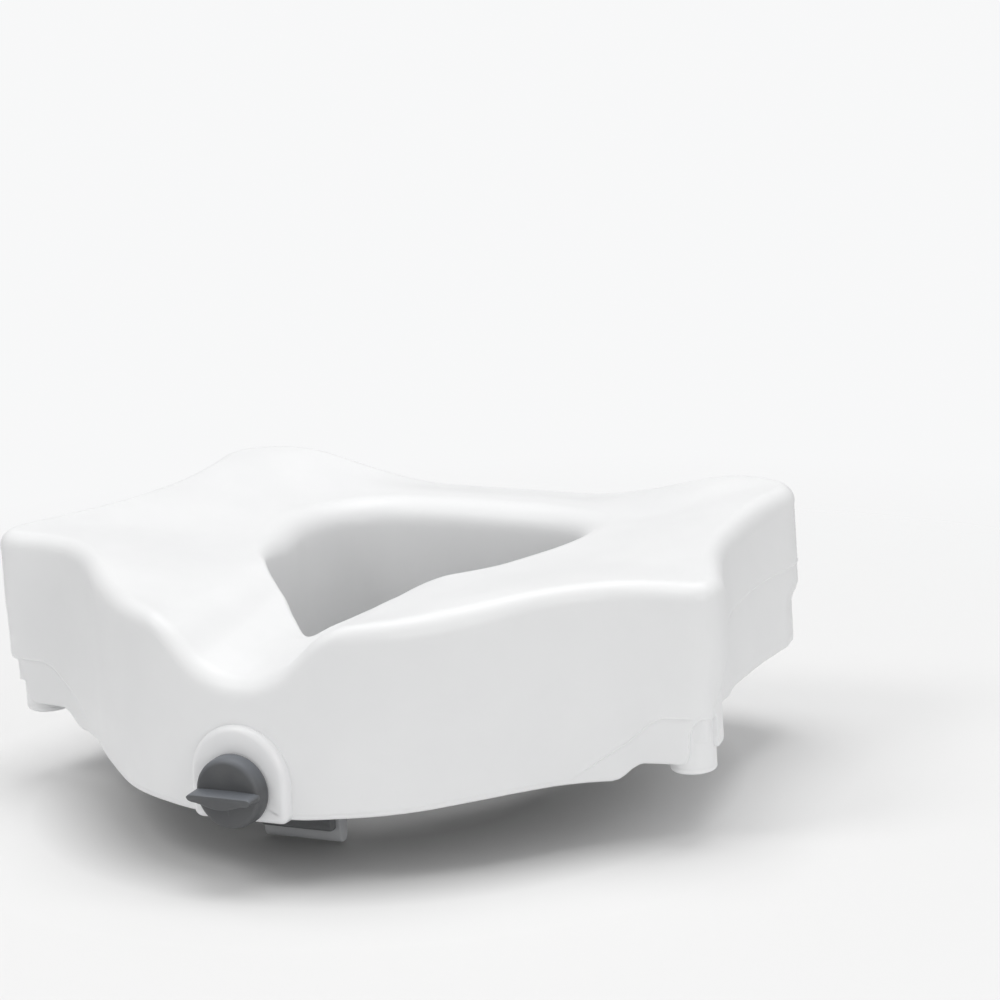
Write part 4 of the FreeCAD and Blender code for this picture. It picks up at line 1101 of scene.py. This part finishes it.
def studio_world():
    """White light on the product, and a plain pale grey backdrop for the camera."""
    scene_world = bpy.data.worlds.new("studio")
    bpy.context.scene.world = scene_world
    scene_world.use_nodes = True
    tree = scene_world.node_tree
    light = tree.nodes["Background"]
    light.inputs["Color"].default_value = (1.0, 1.0, 1.0, 1.0)
    light.inputs["Strength"].default_value = 0.53
    backdrop = tree.nodes.new("ShaderNodeBackground")
    backdrop.inputs["Color"].default_value = (0.935, 0.938, 0.942, 1.0)
    backdrop.inputs["Strength"].default_value = 1.0
    path = tree.nodes.new("ShaderNodeLightPath")
    mix = tree.nodes.new("ShaderNodeMixShader")
    output = [n for n in tree.nodes if n.bl_idname == "ShaderNodeOutputWorld"][0]
    tree.links.new(path.outputs["Is Camera Ray"], mix.inputs[0])
    tree.links.new(light.outputs[0], mix.inputs[1])
    tree.links.new(backdrop.outputs[0], mix.inputs[2])
    tree.links.new(mix.outputs[0], output.inputs[0])


def area_light(name, location, target, size, power, colour=(1, 1, 1)):
    """Rectangular light; places and sizes in metres, power in watts."""
    light = bpy.data.lights.new(name, "AREA")
    light.shape = "RECTANGLE"
    light.size, light.size_y = size
    light.energy = power
    light.color = colour
    ob = bpy.data.objects.new(name, light)
    ob.location = location
    direction = Vector(target) - Vector(location)
    ob.rotation_euler = direction.to_track_quat("-Z", "Y").to_euler()
    bpy.context.scene.collection.objects.link(ob)


def add_camera(azimuth, elevation, roll, location, lens):
    """Camera in front of the seat, to its right. Angles in degrees, location in design mm."""
    azimuth, elevation, roll = (math.radians(a) for a in (azimuth, elevation, roll))
    right = np.array([math.cos(azimuth), math.sin(azimuth), 0.0])
    back = np.array([math.sin(azimuth) * math.cos(elevation),
                     -math.cos(azimuth) * math.cos(elevation), math.sin(elevation)])
    up = np.cross(back, right)
    pose = np.eye(4)
    pose[:3, 0] = math.cos(roll) * right - math.sin(roll) * up
    pose[:3, 1] = math.sin(roll) * right + math.cos(roll) * up
    pose[:3, 2] = back
    pose[:3, 3] = world(location)
    camera = bpy.data.cameras.new("camera")
    camera.sensor_width = 36.0
    camera.lens = lens
    camera.clip_start, camera.clip_end = 0.05, 50.0
    ob = new_object("camera", camera)
    ob.matrix_world = Matrix(pose.tolist())
    bpy.context.scene.camera = ob


studio_floor()
studio_world()
bpy.context.scene.view_settings.view_transform = "Standard"
bpy.context.scene.view_settings.look = "None"
WARM = (1.0, 0.995, 0.985)
area_light("key", location=(-0.9, -1.0, 1.9), target=(0, 0, 0.1), size=(0.9, 0.9), power=9.8,
           colour=WARM)
area_light("top", location=(0.0, 0.5, 2.2), target=(0, 0.05, 0.1), size=(1.6, 1.3), power=20.5)
area_light("fill", location=(1.9, -1.35, 0.75), target=(0.08, 0, 0.08), size=(0.9, 0.9),
           power=10.5, colour=WARM)
add_camera(azimuth=27.857, elevation=14.394, roll=3.544,
           location=(1205.24, -2083.27, 644.77), lens=165.6)
